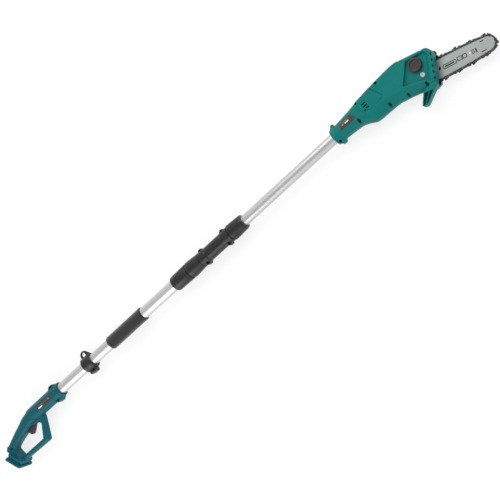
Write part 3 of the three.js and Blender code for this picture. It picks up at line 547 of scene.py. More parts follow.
def lights():
    low, high = cad_bounds
    middle = (low + high) / 2
    key_spot = (0.3 * (high.x - low.x), 1.7, 1.9)
    area_light("key", middle + Vector(key_spot), middle + Vector((0.2, 0, 0)), 1.8, 25)
    front = area_light("front", middle + Vector((1.7, 0.5, 1.9)), middle + Vector((0.5, 0, 0)), 1.4, 12)
    front.visible_glossy = False
    grip_aim = middle + Vector((-0.95, -0.2, 0))
    area_light("grip_side", middle + Vector((-1.25, -1.35, 0.8)), grip_aim, 1.5, 15)


def tent():
    """A white tent round the tool: dim overhead, bright at the horizon and on the tool's lower side."""
    world = bpy.data.worlds.new("studio")
    world.use_nodes = True
    nodes, links = world.node_tree.nodes, world.node_tree.links
    parts = nodes.new("ShaderNodeSeparateXYZ")
    links.new(nodes.new("ShaderNodeTexCoord").outputs["Generated"], parts.inputs[0])

    def band(direction, start, end, dark, bright):
        made = nodes.new("ShaderNodeMapRange")
        made.interpolation_type = "SMOOTHSTEP"
        links.new(parts.outputs[direction], made.inputs["Value"])
        values = {"From Min": start, "From Max": end, "To Min": dark, "To Max": bright}
        for key, value in values.items():
            made.inputs[key].default_value = value
        return made.outputs["Result"]

    total = nodes.new("ShaderNodeMath")
    links.new(band("Y", -0.30, -0.46, 0.0, 0.08), total.inputs[0])
    links.new(band("Z", 0.75, 0.15, 0.70, 1.02), total.inputs[1])
    background = nodes["Background"]
    links.new(total.outputs[0], background.inputs["Strength"])
    background.inputs["Color"].default_value = (1, 1, 1, 1)
    bpy.context.scene.world = world
    bpy.context.scene.view_settings.view_transform = "Standard"


def floor():
    """A pale floor that gives off a little light itself, which keeps the shadows faint."""
    reach = 9000
    level = (cad_bounds[0].z - POLE[2]) / MM - 0.2
    plane = block((-reach, reach), (-reach, reach), (level - 20, level), name="floor")
    graph = Graph("floor")
    tint = graph.mix(graph.noise(400, detail=3.0), (0.24, 0.24, 0.24, 1), (0.26, 0.26, 0.26, 1))
    graph.set(Base_Color=tint, Roughness=0.9, Emission_Color=(1, 1, 1, 1), Emission_Strength=0.74)
    graph.shader.inputs["Specular IOR Level"].default_value = 0.0
    plane.data.materials.append(graph.material)


camera()
lights()
tent()
floor()


# ---------------------------------------------------------------- saw head

# Sections of the head: place along the pole, top, bottom, half depth, where the flat side begins and
# ends, and how square the upper and lower corners are.
HEAD_SECTIONS = np.array([
    (384, 22.5, -22.5, 22.5, 0, 0, 2.0, 2.0),
    (412, 23.5, -23, 23, 0, 0, 2.1, 2.1),
    (440, 25, -25, 24, 3, -2, 2.4, 2.3),
    (462, 26.5, -28, 25, 8, -4, 2.6, 2.2),
    (477, 28, -34, 25.6, 13, -6, 2.8, 2.6),
    (497, 30, -45, 26, 19, -11, 3.0, 2.7),
    (520, 31.5, -47, 26.5, 23, -16, 3.0, 2.6),
    (545, 32.7, -48, 27, 25, -21, 3.0, 2.1),
    (573, 34.2, -50.5, 27, 27, -27, 3.0, 1.9),
    (600, 35.3, -57.5, 26.5, 28, -34.6, 3.0, 1.9),
    (616, 35.2, -63, 26, 28, -40, 3.0, 1.9),
    (650, 25.5, -74, 24.5, 19, -54, 3.0, 1.9),
    (685, 15, -82, 23, 9, -64, 3.0, 2.0),
    (716, 6, -88, 21.5, 0, -70, 3.0, 2.0),
], float)
SPLIT = -5              # the shells part on this plane
SIDE_JOINT = 573        # the left shell ends and the sprocket cover begins here
NOSE = (690, -7)
PANEL_Z = 17
BAR_WALL = {"z0": -4.4, "z1": -1.6, "rim": -11.15}
OIL_CAP = (658.3, -7.6)
STUD = (658, -39.3)
MOTOR = {"r": 15.5, "from": 500, "to": 543.5, "z": 5.2}
BAR = {"tilt": -15, "z": -8, "thick": 4, "tip": 180.2, "nose": 17, "tail": -34}
BAR_EDGE = [(-18, 22), (55, 22), (100, 21.1), (135, 19.3)]     # place along the bar, half width
SPROCKET_AT = (-57.963, -2.021)      # in bar coordinates, as the CAD source has it
CHAIN_WRAP = 18.6       # radius of the chain's inner edge on the sprocket
CHAIN_ROOM = 9.6        # space kept free outside the bar for the chain
SUNK_PANEL = [(603, -29), (631, -1), (645, 15), (690, 2.5), (692, -8), (674, -35), (661, -57), (650, -51)]
PANEL_RIM = [(603, -29), (631, -1), (645, 15), (698, 6.5), (704, -10), (685, -40), (668, -66), (650, -51)]
RAISED = {
    "height": 0.9,
    "groove": 3.6,
    "outline": [
        (486, 27), (534, 26), (538, 17), (543, 6.8), (551, -9), (548, -12), (539, -13.7), (507, -16),
        (486, -10),
    ],
}
HOOK_OUTLINE = [
    (640, -69), (630, -75), (609.5, -97), (612.5, -101), (621, -103.5), (652, -88.5), (668, -82),
    (673, -72), (662, -67),
]
HOOK_POCKETS = [
    [(613.4, -97.7), (633.5, -76), (645.5, -79), (617, -99.6)],
    [(620.2, -101), (647.5, -79.5), (655.5, -83.5), (625.5, -99.6)],
]
SCREW_WELLS = [(466, -17, 15.2), (551, -39.5, 13.2), (600.3, -52.5, 8), (652, -65, 10)]
VENTS = [(501.6, 7.8, 4.8), (502.6, 0.8, 5.2), (505, -6.4, 2.6), (495.4, -8.4, 1.8)]
WELL = {"radius": 2.9, "half_length": 3.9, "direction": 84}
SLOT_SCREWS = ("head_screw_2", "head_screw_5")       # their heads fit inside the narrow wells
HEAD_BADGE = [(418, 12.5), (459, 13), (465.5, -5.5), (414, -5)]


def bar_point(u, v):
    """Bar coordinates: u along the bar from the bolt toward the tip, v across it."""
    a = math.radians(BAR["tilt"])
    return (STUD[0] + u * math.cos(a) - v * math.sin(a), STUD[1] + u * math.sin(a) + v * math.cos(a))


def bar_points(points):
    return [bar_point(u, v) for u, v in points]


SPROCKET = bar_point(*SPROCKET_AT)
BAR_NOSE = bar_point(BAR["tip"] - BAR["nose"], 0)
MATERIALS = paint_all()


def head_rows(start, end):
    """Rows like those of HEAD_SECTIONS, at closer and even steps."""
    step = 3.0
    xs = np.arange(start, end + step / 2, step)
    columns = [curve_through(HEAD_SECTIONS[:, 0], HEAD_SECTIONS[:, k], xs) for k in range(1, 8)]
    return np.column_stack([xs, *columns])


def ledge(x):
    """Depth of the step along the crease: it runs out at both ends."""
    return 1.7 * np.clip((x - 455) / 25, 0, 1) * np.clip((690 - x) / 60, 0, 1)


def scoop(x):
    """How far the lower side is hollowed below the crease, which keeps the crease crisp."""
    return 2.8 * np.clip((x - 515) / 32, 0.2, 1) * np.clip((700 - x) / 50, 0, 1)


def head_ring(row, shrink):
    """One section's outline, from its middle top down its right side and up its left side."""
    x, top, bottom, depth, shoulder, crease, power_top, power_bottom = row
    turn = np.linspace(0, math.pi / 2, 15)
    rise, reach = np.sin(turn), np.clip(np.cos(turn), 0, 1)
    top, bottom, depth = top - shrink, bottom + shrink, depth - shrink
    shoulder, crease = min(shoulder, top - 1), max(crease, bottom + 1)
    upper = np.column_stack([shoulder + (top - shoulder) * rise ** (2 / power_top),
                             depth * reach ** (2 / power_top)])
    step, hollow = (ledge(x), scoop(x)) if shrink <= 0 else (0, scoop(x) / 2)
    share = rise ** (2 / power_bottom)
    side = (depth - step) * reach ** (2 / power_bottom)
    lower = np.column_stack([crease - 0.8 + (bottom - crease + 0.8) * share,
                             side - hollow * np.sin(math.pi * share)])
    near = np.concatenate([upper[::-1], lower])
    far = near[1:-1][::-1] * (1, -1)
    ring = np.concatenate([near, far])
    return np.column_stack([np.full(len(ring), x), ring])


def head_loft(start=384, end=716, shrink=0.0):
    return loft([head_ring(row, shrink) for row in head_rows(start, end)])


def head_outline():
    """Side view of the head, with its round nose and the slanted front that the bar comes out of."""
    return ([(370, 60), (600, 60), (625.7, 32.6)] + arc(NOSE, 18.5, 72, -26, 20)
            + [(681, -63), (668, -79), (640, -90), (370, -90)])


def branch_hook():
    hook = bevel(prism(HOOK_OUTLINE, SPLIT + GAP / 2, 19), 1.4)
    return cut(hook, *[prism(pocket, 3, 30) for pocket in HOOK_POCKETS])


def raised_side_panel():
    """The low raised field round the vents, with its curved front edge."""
    return keep(head_loft(470, 560, -RAISED["height"]), prism(RAISED["outline"], 5, 60))


def raised_panel_groove():
    """The shadow line along the front and lower edges of the raised field."""
    outline = np.array(RAISED["outline"], float)
    outward = outline - outline.mean(axis=0)
    outward /= np.linalg.norm(outward, axis=1, keepdims=True)
    wider = outline + outward * RAISED["groove"]
    return cut(prism(wider, 5, 60), prism(outline, 4, 61), head_loft(470, 570, 2.3),
               block((470, 515), (0, 60), (0, 70)))


def socket_bosses():
    """Small ears above and below the head's socket."""
    below = [(386, -12), (388, -22), (393, -28.5), (402, -28.5), (408, -21), (410, -12)]
    above = [(386, 12), (388, 22), (391, 25), (402, 25), (405, 22), (407, 12)]
    return [bevel(prism(below, -11, 11), 1.5), bevel(prism(above, -10, 10), 1.5)]


def sunk_panel():
    """The field round the oil cap and the bolt: steep walls behind and above, a slope in front."""
    return loft([np.column_stack([outline, np.full(len(outline), z)])
                 for outline, z in ((SUNK_PANEL, PANEL_Z), (PANEL_RIM, PANEL_Z + 10))])


def front_notches():
    """A row of small dark notches down the slanted front edge."""
    made = []
    for place in np.arange(1, 60, 14.5):
        centre = (703.8 - 0.471 * place, -12.9 - 0.882 * place)
        made.append(prism(slot_outline(centre, 1.8, 1.5, 61.9), 13, 40))
    return made


def top_serrations():
    xs = np.arange(540, 600, 4.5)
    tops = curve_through(HEAD_SECTIONS[:, 0], HEAD_SECTIONS[:, 1], xs)
    return [rod(1.2, -9, 9, (x, top + 0.3), sides=16) for x, top in zip(xs, tops)]


def screw_well(x, y, low):
    outline = slot_outline((x, y), WELL["radius"], WELL["half_length"], WELL["direction"])
    return prism(outline, low, 60)


def head_outer():
    outer = keep(head_loft(), prism(head_outline(), -60, 60))
    outer = join(outer, *socket_bosses(), raised_side_panel())
    wells = [screw_well(x, y, z - 2.6) for x, y, z in SCREW_WELLS]
    edge_marks = [block((631, 638), (27.5, 40), (12, 40)), block((688, 694), (10.5, 20), (12, 40))]
    outer = cut(outer, sunk_panel(), raised_panel_groove(), *wells, *edge_marks, *front_notches())
    return soften(outer, 0.9, 3)


def head_hollow():
    """The room inside the head, less the screw bosses and the wall beside the bar."""
    inside = [(440, 50), (628, 50), (692, 8), (702, -1), (703, -14), (677, -63), (664, -75),
              (630, -75), (440, -75)]
    hollow = keep(head_loft(441, 716, WALL + 0.4), prism(inside, -60, 60))
    panel = [(x + (x - 655) * 0.06, y + (y + 22) * 0.08) for x, y in PANEL_RIM]
    bosses = [rod(7.6, -60, 60, (x, y)) for x, y, _ in SCREW_WELLS]
    bosses += [rod(5.2, -60, 60, (x, y)) for x, y in ((557, 26), (486, 22))]
    return cut(hollow, block((SIDE_JOINT - WALL - 0.5, 730), (-100, 60), (-60, BAR_WALL["z1"])),
               prism(panel, PANEL_Z - WALL, 60), *bosses)


def bar_loop(grow):
    """The bar's two long edges and the round nose between them, grown by a distance."""
    lower = [(u, -half - grow) for u, half in BAR_EDGE]
    upper = [(u, half + grow) for u, half in reversed(BAR_EDGE)]
    return lower + arc((BAR["tip"] - BAR["nose"], 0), BAR["nose"] + grow, -85, 85, 40) + upper


def chain_outline(offset):
    """A closed loop round the sprocket and the bar, offset outward from the surface it runs on."""
    return bar_points(arc(SPROCKET_AT, CHAIN_WRAP + offset, 95, 265, 24) + bar_loop(GAP + offset))


def screw_tools(names):
    """Holes for the shanks and heads of CAD screws."""
    tools = []
    for name in names:
        centre, bottom, top, radius = screw_place(name)
        tools.append(rod(1.9, bottom - GAP, top, centre, sides=16))
        tools.append(rod(radius + GAP, top - 2.4 - GAP, top + 40, centre, sides=32))
    return tools


def screw_place(name):
    """A CAD screw's middle in the side view, its two ends in depth and its head's radius."""
    low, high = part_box(name)
    low, high = ((np.array(corner) - POLE) / MM for corner in (low, high))
    return ((low[0] + high[0]) / 2, (low[1] + high[1]) / 2), low[2], high[2], (high[1] - low[1]) / 2


def numbered(stem, count):
    return [f"{stem}_{i + 1}" for i in range(count)]


def head_shells():
    """Both head shells. The right one also has the wall beside the bar, the vents and the hook."""
    bar_top = BAR["z"] + BAR["thick"] / 2 + GAP
    moulding = cut(
        head_outer(),
        head_hollow(),
        rod(14.8, 300, 442, axis=0, sides=64),
        rod(MOTOR["r"] + GAP, MOTOR["from"] - 1, MOTOR["to"] + 1, (SPROCKET[1], MOTOR["z"]), axis=0),
        rod(5.9, 22.6, 60, (397, 3), axis=1),
        rod(2.1, 20.5, 40, (388.5, -9.5), sides=24),
        *screw_tools(numbered("head_screw", 5)),
        *top_serrations(),
    )
    left = keep(copy_of(moulding), block((300, SIDE_JOINT), (-90, 60), (-60, SPLIT - GAP / 2)))
    right = cut(
        moulding,
        block((300, SIDE_JOINT), (-90, 60), (-60, SPLIT + GAP / 2)),
        block((SIDE_JOINT - 0.01, 760), (-120, 60), (-60, BAR_WALL["rim"])),
        prism(chain_outline(CHAIN_ROOM), -60, BAR_WALL["z0"]),
    )
    pad = bar_points([(-24, -17), (26, -17), (26, 17), (-24, 17)])
    pad_solid = prism(pad, bar_top, BAR_WALL["z1"] + 0.1)
    right = join(right, pad_solid, soften(branch_hook(), 0.8, 2))
    vents = [prism(slot_outline((x, y), 1.7, half_length), 15, 60) for x, y, half_length in VENTS]
    right = cut(
        right,
        prism(chain_outline(CHAIN_ROOM), -60, bar_top),
        rod(5.4, -20, 0, SPROCKET),
        rod(4.3, -20, 40, STUD),
        rod(11.4, 0, 40, OIL_CAP, sides=64),
        *vents,
        screw_well(651.5, -63.7, 8),
    )
    dress(right, "head_housing_right", "head_plastic", "head_shell_right")
    dress(left, "head_housing_left", "head_plastic", "head_shell_left")
    return right


def surface_patch(host, outline):
    """A thin plate over an outline of the side view that follows the host's right side."""
    tree = BVHTree.FromObject(host, bpy.context.evaluated_depsgraph_get())
    corners = np.array(outline, float)
    above, below = 0.35, 0.4
    steps = 16
    side = np.linspace(0, 1, steps + 1)
    grid = [(corners[0] * (1 - a) + corners[1] * a) * (1 - b) + (corners[3] * (1 - a) + corners[2] * a) * b
            for b in side for a in side]
    tops = []
    for x, y in grid:
        start = Vector(POLE + np.array([x, y, 80]) * MM)
        hit = tree.ray_cast(start, Vector((0, 0, -1)))[0]
        tops.append((hit.z - POLE[2]) / MM)
    tops = np.array(tops)
    count = len(grid)
    upper = np.column_stack([grid, tops + above])
    lower = np.column_stack([grid, tops - below])
    row = steps + 1
    cell = [(r * row + c, r * row + c + 1, (r + 1) * row + c + 1, (r + 1) * row + c)
            for r in range(steps) for c in range(steps)]
    faces = cell + [tuple(count + i for i in reversed(face)) for face in cell]
    rim = list(range(row))
    rim += [r * row + steps for r in range(1, row)]
    rim += [steps * row + c for c in range(steps - 1, -1, -1)]
    rim += [r * row for r in range(steps - 1, 0, -1)]
    faces += [(rim[i], rim[(i + 1) % len(rim)], count + rim[(i + 1) % len(rim)], count + rim[i])
              for i in range(len(rim))]
    return make("patch", np.concatenate([upper, lower]), faces)


def badge(host, corners, name, node):
    dress(surface_patch(host, corners), name, "badge", node)


def socket_button():
    profile = [
        (24.6, 0), (24.6, 5.4), (28.9, 4.9), (29.6, 4.4), (29.8, 3.6), (30.5, 3.4), (30.8, 2.9), (30.8, 0),
    ]
    dress(turned(profile, (397, 3), axis=1, sides=48), "socket_release", "black_plastic", "socket_button")


def oil_cap():
    """A ridged disc with a round recess and a low grip bar, on its bayonet stem."""
    low, high = PANEL_Z + 0.4, PANEL_Z + 9.5
    cap = turned([
        (9, 0), (9, 8.1), (22, 8.1), (22, 11.6), (low, 11.6), (low, 17.3), (low + 0.7, 18),
        (high - 1.8, 18), (high - 0.5, 17.4), (high, 16.4), (high, 12.6), (high - 0.3, 12.1),
        (high - 1.9, 11.8), (high - 1.9, 9.0), (high - 1.6, 8.8), (high - 1.6, 5.0), (high - 1.9, 4.8),
        (high - 1.9, 0),
    ], OIL_CAP, axis=2, sides=144)
    ridges = [rod(0.55, low - 1, high + 1, spot, sides=8) for spot in circle(OIL_CAP, 18.2, 40)]
    slit = prism(slot_outline(OIL_CAP, 1.0, 2.8, 12), high - 3, high + 1)
    dress(cut(cap, slit, *ridges), "oil_filler_cap", "brown_plastic", "oil_cap")


def bar_bolt():
    """A bolt with a low crowned hexagon head on the shank that clamps the bar."""
    low, high = PANEL_Z + 0.3, PANEL_Z + 4.5
    head = prism(circle(STUD, 6.9, 6), low, high)
    crown = turned([(low - 1, 0), (low - 1, 7.4), (high - 0.9, 7.2), (high, 6.2), (high, 0)], STUD, axis=2)
    shank = rod(4, -24, low + 0.2, STUD)
    dress(join(keep(head, crown), shank), "bar_bolt_hex", "bolt_steel", "bar_bolt")


def screws():
    groups = (("handle_screw", 6), ("coupler_screw", 4), ("head_screw", 5))
    every = [name for stem, count in groups for name in numbered(stem, count)]
    for name in every + ["strap_clamp_screw"]:
        centre, low, high, radius = screw_place(name)
        wide = 2.5 if name in SLOT_SCREWS else radius
        body = turned([
            (low, 0), (low, 1.1), (low + 0.8, 1.6), (high - 2.4, 1.6), (high - 2.4, wide - 0.1),
            (high - 1.0, wide), (high - 0.3, wide - 0.6), (high, wide - 1.4), (high, 0),
        ], centre, axis=2, sides=32)
        socket = prism(circle(centre, 1.25, 6), high - 1.4, high + 1)
        dress(cut(body, socket), name + "_socket_head", "screw_steel", name)


def guide_bar():
    """Two thin plates on a core that leaves the chain's groove open, with the nose sprocket's hub."""
    low, high = BAR["z"] - BAR["thick"] / 2, BAR["z"] + BAR["thick"] / 2
    groove_low, groove_high = BAR["z"] - 0.75, BAR["z"] + 0.75

    def outline(inset):
        tail = BAR["tail"] + inset
        return bar_points([(tail, -14 + inset)] + bar_loop(-inset) + [(tail, 14 - inset)])

    def hole(u, v, radius):
        return rod(radius, low - 5, high + 5, bar_point(u, v))

    plates = cut(prism(outline(0), low, high), prism(outline(-5), groove_low, groove_high))
    core = cut(prism(outline(5), low + 0.5, high - 0.5), rod(13.6, groove_low, groove_high, BAR_NOSE))
    hub = rod(5.6, low + 0.5, high - 0.5, BAR_NOSE)
    whole = join(plates, core, hub)
    holes = [hole(37.5, 1.2, 4.4), hole(117, 0.6, 2.5), hole(-27, 0, 1.8)]
    stud_slot = prism(slot_outline(bar_point(2, 0), 4.4, 9, BAR["tilt"]), low - 5, high + 5)
    rivet = [(high - 0.3, 0), (high - 0.3, 1.7), (high + 0.1, 1.6), (high + 0.25, 1), (high + 0.25, 0)]
    rivet_turns = [math.radians(turn + BAR["tilt"]) for turn in (90, 210, 330)]
    rivets = [
        turned(rivet, (BAR_NOSE[0] + 9 * math.cos(a), BAR_NOSE[1] + 9 * math.sin(a)), axis=2, sides=24)
        for a in rivet_turns
    ]
    dress(join(cut(whole, stud_slot, *holes), *rivets), "guide_bar_plates", "bar_steel", "guide_bar")


CHAIN = {"rivet": 3.2, "pitch": 9.3}       # rivets' distance from the bar's edge, and their spacing
STRAP = slot_outline((0, 0), 2.4, 4.65, steps=6)
CUTTER = [
    (-7.4, -2.0), (-6.8, -2.6), (6.8, -2.6), (7.4, -2.0), (7.6, 1.8), (6.8, 4.4), (5.0, 4.7), (3.6, 2.2),
    (2.2, 1.2), (0.8, 1.7), (-0.2, 6.0), (-6.4, 5.0), (-7.4, 2.4),
]
CUTTER_TOP = [(-6.4, 4.1), (-0.4, 5.0), (0.0, 6.1), (-6.4, 5.1)]
DRIVE = [
    (-6.9, 0.9), (-6.2, -1.6), (-2.9, -3.0), (-1.6, -7.0), (0.4, -7.2), (2.9, -3.0), (6.2, -1.6),
    (6.9, 0.9), (5.4, 2.0), (3.2, 2.2), (1.4, 4.0), (-1.6, 4.3), (-3.0, 2.2), (-5.4, 2.0),
]
SHORT_DRIVE = [
    (-6.9, 0.9), (-6.2, -1.6), (-2.9, -2.9), (2.9, -2.9), (6.2, -1.6), (6.9, 0.9), (5.4, 2.4), (-5.4, 2.4),
]


def rivet_line():
    """Evenly spaced rivets round the loop: their places in the side view, in the order the chain runs."""
    loop = np.array(chain_outline(CHAIN["rivet"]) + chain_outline(CHAIN["rivet"])[:1])[::-1]
    lengths = np.concatenate([[0], np.cumsum(np.hypot(*np.diff(loop, axis=0).T))])
    count = 2 * round(lengths[-1] / CHAIN["pitch"] / 2)
    at = np.arange(count) * lengths[-1] / count
    return np.column_stack([np.interp(at, lengths, loop[:, k]) for k in (0, 1)])


def link_plate(start, end, outline, low, high):
    """A plate of one link, drawn in (forward, outward) from the middle of its two rivets."""
    start, end = np.array(start), np.array(end)
    forward = (end - start) / np.linalg.norm(end - start)
    outward = np.array([-forward[1], forward[0]])
    middle = (start + end) / 2
    return prism([middle + t * forward + h * outward for t, h in outline], low, high, name="link")


def saw_chain():
    """Drive links by turns with strap links, some of which are left or right cutters."""
    rivets = rivet_line()
    middle = BAR["z"]
    parts = []
    count = len(rivets)
    for i in range(count):
        start, end = rivets[i], rivets[(i + 1) % count]
        parts.append(rod(1.35, middle - 2.75, middle + 2.75, start, sides=12, name="rivet"))
        if i % 2:
            at_sprocket = math.dist((start + end) / 2, SPROCKET) < 24
            outline = SHORT_DRIVE if at_sprocket else DRIVE
            parts.append(link_plate(start, end, outline, middle - 0.6, middle + 0.6))
            continue
        cutter = {0: 1, 4: -1}.get(i % 8)
        for side in (1, -1):
            low, high = sorted((middle + side * 0.8, middle + side * 2.3))
            parts.append(link_plate(start, end, CUTTER if cutter == side else STRAP, low, high))
        if cutter:
            low, high = sorted((middle - cutter * 0.3, middle + cutter * 3.0))
            parts.append(link_plate(start, end, CUTTER_TOP, low, high))
    dress(merge(parts), "saw_chain_links", "chain_steel", "saw_chain")


def toothed_disc(centre, root, tip, teeth, low, high):
    """A disc with square teeth between its root and tip radius."""
    outline = []
    for i in range(teeth):
        for share, radius in ((0, root), (0.25, root), (0.38, tip), (0.62, tip), (0.75, root)):
            a = (i + share) / teeth * math.tau
            outline.append((centre[0] + radius * math.cos(a), centre[1] + radius * math.sin(a)))
    return prism(outline, low, high)


def nose_sprocket():
    disc = toothed_disc(BAR_NOSE, 10, 12.2, 7, BAR["z"] - 0.5, BAR["z"] + 0.5)
    dress(cut(disc, rod(6.2, -40, 40, BAR_NOSE)), "nose_sprocket_disc", "gear_steel", "nose_sprocket")


COVER = {"top": -11.6, "bottom": -36}
# The cover's outline where it meets the head, and the matching outline of its flat face.
COVER_RIM = np.array([
    (573.6, 31), (600, 32), (616, 31), (645, 22.5), (688, 9.5), (703, 4), (711, -4), (712.5, -14),
    (709, -24), (683, -64), (674, -79), (657, -81), (641, -72), (617, -60), (600, -54), (573.6, -47),
])
COVER_FACE = np.array([
    (573.6, 24), (600, 26), (616, 25), (645, 17.5), (685, 4.5), (697, -1), (703, -7), (705, -14),
    (702, -23), (679.5, -62), (671, -74), (658, -76), (643, -64), (618, -51), (600, -45), (573.6, -39),
])


def sprocket_cover():
    def ring(share, z):
        return np.column_stack([COVER_RIM + (COVER_FACE - COVER_RIM) * share, np.full(len(COVER_RIM), z)])

    top, bottom = COVER["top"], COVER["bottom"]
    body = loft([ring(0, top), ring(0.18, top - 14), ring(0.5, bottom + 4), ring(1, bottom)])
    dish = prism([
        (576.1, -36), (576.1, 21.5), (600, 23.5), (616, 22.5), (645, 15), (682, 2.5), (730, -16),
        (730, -60), (671, -60), (660, -66), (643, -58), (618, -47), (600, -42),
    ], bottom + WALL, 20)
    bar_side = BAR["z"] - BAR["thick"] / 2
    well_wall = rod(15, bottom, bar_side - 1, STUD)
    pad = prism(bar_points([(-14, -11), (18, -11), (18, 11), (-14, 11)]), bottom + 1, bar_side - GAP)
    grooves = [prism(slot_outline((x, -12), 1.4, 16, 78), -60, bottom + 0.9)
               for x in np.arange(596, 632, 6)]
    cover = soften(cut(body, *grooves), 0.9, 3)
    cover = join(cut(cover, dish), well_wall, pad)
    cover = cut(cover, rod(12.5, bottom - 1, -24, STUD), rod(4.3, -60, 10, STUD))
    dress(cover, "sprocket_side_cover", "black_plastic", "sprocket_cover")


badge(head_shells(), HEAD_BADGE, "head_badge_film", "head_badge")
socket_button()
oil_cap()
bar_bolt()
screws()
guide_bar()
saw_chain()
nose_sprocket()
sprocket_cover()


# ---------------------------------------------------------------- handle

# Stations of the curved grip: place, height, slope in degrees, half height, half width, squareness.
GRIP = np.array([
    (-900, -0.5, 0, 22.0, 20.3, 2.2),
    (-922, -1.5, 8, 21.0, 19.6, 2.3),
    (-945, -5, 15, 20, 19, 2.4),
    (-970, -12, 18, 18.2, 17.2, 2.4),
    (-998, -20, 19, 17, 16.4, 2.4),
    (-1024, -29.5, 22, 16, 16.4, 2.5),
    (-1048, -40, 26, 16.5, 17.5, 2.8),
], float)
COVERED_SCREWS = ("handle_screw_2", "handle_screw_3", "handle_screw_4")
HANDLE_BADGE = [(-866, 5), (-802, 5), (-802, -8.5), (-866, -8.5)]
FOOT = {"x": -1059, "y": -82.5, "tilt": 32, "half": 31}
BARREL_EDGE = [
    (-800, 40), (-880, 40), (-884, 23.6), (-915, 20.4), (-921, 4), (-914, -8), (-903, -18), (-888, -26),
    (-850, -40), (-800, -40),
]
GUARD_OPENING = [
    (-1036, -58), (-1033, -72), (-1028, -82), (-918, -82), (-893, -41), (-905, -30),
    (-935, -26), (-972, -32.5), (-1004, -39), (-1026, -46.5),
]


def grip_loft(shrink=0.0):
    xs = np.linspace(-900, -1048, 38)
    rows = np.column_stack([xs] + [curve_through(-GRIP[:, 0], GRIP[:, k], -xs) for k in range(1, 6)])
    turn = np.arange(64) * math.tau / 64
    rings = []
    for x, y, angle, half_height, half_width, power in rows:
        a = math.radians(angle)
        up = np.sign(np.sin(turn)) * np.abs(np.sin(turn)) ** (2 / power) * (half_height - shrink)
        out = np.sign(np.cos(turn)) * np.abs(np.cos(turn)) ** (2 / power) * (half_width - shrink)
        rings.append(np.column_stack([x - up * math.sin(a), y + up * math.cos(a), out]))
    return loft(rings)


def foot_point(n, t):
    """A point of the battery foot: n forward of its rear face, t down along it."""
    a = math.radians(FOOT["tilt"])
    return (FOOT["x"] + n * math.cos(a) + t * math.sin(a), FOOT["y"] + n * math.sin(a) - t * math.cos(a))


def foot_plate(n0, n1, t0, t1, half_width, corner):
    """A plate of the foot with round corners, between two places along each foot direction."""
    middle = (t0 + t1) / 2
    reach_t, reach_z = (t1 - t0) / 2 - corner, half_width - corner
    outline = []
    for start, side_t, side_z in ((0, 1, 1), (90, -1, 1), (180, -1, -1), (270, 1, -1)):
        centre = (middle + side_t * reach_t, side_z * reach_z)
        outline += arc(centre, corner, start, start + 90, 6)
    return loft([[(*foot_point(n, t), z) for t, z in outline] for n in (n0, n1)])


def raised_barrel():
    """The thicker front of the barrel; the grip begins behind its slanting edge."""
    return keep(rod(23.8, -935, -800, (-0.6, 1.0), axis=0, sides=96), prism(BARREL_EDGE, 0, 60))


def barrel_groove():
    """The narrow groove behind the barrel's slanting edge."""
    wider = [(x - 2.2, y - 2.2) for x, y in BARREL_EDGE]
    return cut(prism(wider, 2, 60), prism(BARREL_EDGE, 1, 61), grip_loft(1.5),
               rod(20.6, -960, -790, axis=0, sides=96), block((-866, -780), (-60, 60), (0, 70)))


def collar_ears():
    outline = [(-811, 18), (-799, 29), (-785, 29), (-770, 18)]
    return [bevel(prism([(x, side * y) for x, y in outline], -13, 13), 2) for side in (1, -1)]


def guard():
    outline = [
        (-1062, -40), (-1040, -89), (-1020, -95.5), (-901, -97.5), (-871, -26), (-880, -8),
        (-940, -12), (-1000, -24),
    ]
    opening = bevel(prism(GUARD_OPENING, -40, 40), 2, angle=10)
    return cut(bevel(prism(outline, -11, 11), 5.5, segments=1), opening)


def rear_block():
    outline = [
        (-1064, -37), (-1052, -25), (-1038, -36), (-1034, -56), (-1026, -84), (-1020, -93), (-1030, -97),
    ]
    return bevel(prism(outline, -18.5, 18.5), 3)


def handle_outer():
    """The whole handle from outside: barrel, grip, guard and battery foot as one moulding."""
    half = FOOT["half"]
    shoe = foot_plate(0, 7, -half, half, 32, 7)
    neck = foot_plate(6.9, 15, -half + 3, half - 4, 24, 5)
    flange = foot_plate(14.9, 24, -half + 3, half, 28, 8)
    barrel = join(rod(22, -912, -767, axis=0, sides=96), rod(23, -860, -767, axis=0, sides=96))
    body = cut(join(barrel, raised_barrel(), grip_loft()), barrel_groove())
    outer = join(body, *collar_ears(), guard(), rear_block(), shoe, neck, flange)
    return soften(outer, 0.85, 3)


def handle_hollow():
    """The room inside the handle, less the bosses of its first four screws."""
    hollow = join(
        rod(19.5, -912, -822, axis=0, sides=64),
        rod(17.3, -823, -762, axis=0, sides=96),
        grip_loft(WALL),
        foot_plate(-1, 26, -18, 18, 15, 1.5),
        prism([(-962, -40), (-915, -34), (-908, -12), (-966, -22)], -8.2, 8.2),
        rod(5.2, -40, 0, (-936, 1)),
    )
    return cut(hollow, *[rod(5.2, -60, 60, screw_place(name)[0]) for name in numbered("handle_screw", 4)])


def halves(whole, name, slot, right_node, left_node):
    """Cuts a moulding at its parting plane and dresses its two half shells."""
    left = keep(copy_of(whole), block((-2000, 2000), (-200, 200), (-90, -GAP / 2)))
    right = keep(whole, block((-2000, 2000), (-200, 200), (GAP / 2, 90)))
    dress(left, name + "_left", slot, left_node)
    return dress(right, name + "_right", slot, right_node)


def handle_shells():
    """Both half shells, with a flush plug over each screw that doesn't show on the right side."""
    outer = handle_outer()
    for name in COVERED_SCREWS:
        centre, _, high, radius = screw_place(name)
        plug = keep(copy_of(outer), rod(radius + GAP - 0.1, high + 0.4, 60, centre))
        dress(plug, name + "_plug", "handle_plastic", body="handle")
    whole = cut(outer, handle_hollow(), *screw_tools(numbered("handle_screw", 6)))
    return halves(whole, "handle_housing", "handle_plastic", "handle_shell_right", "handle_shell_left")


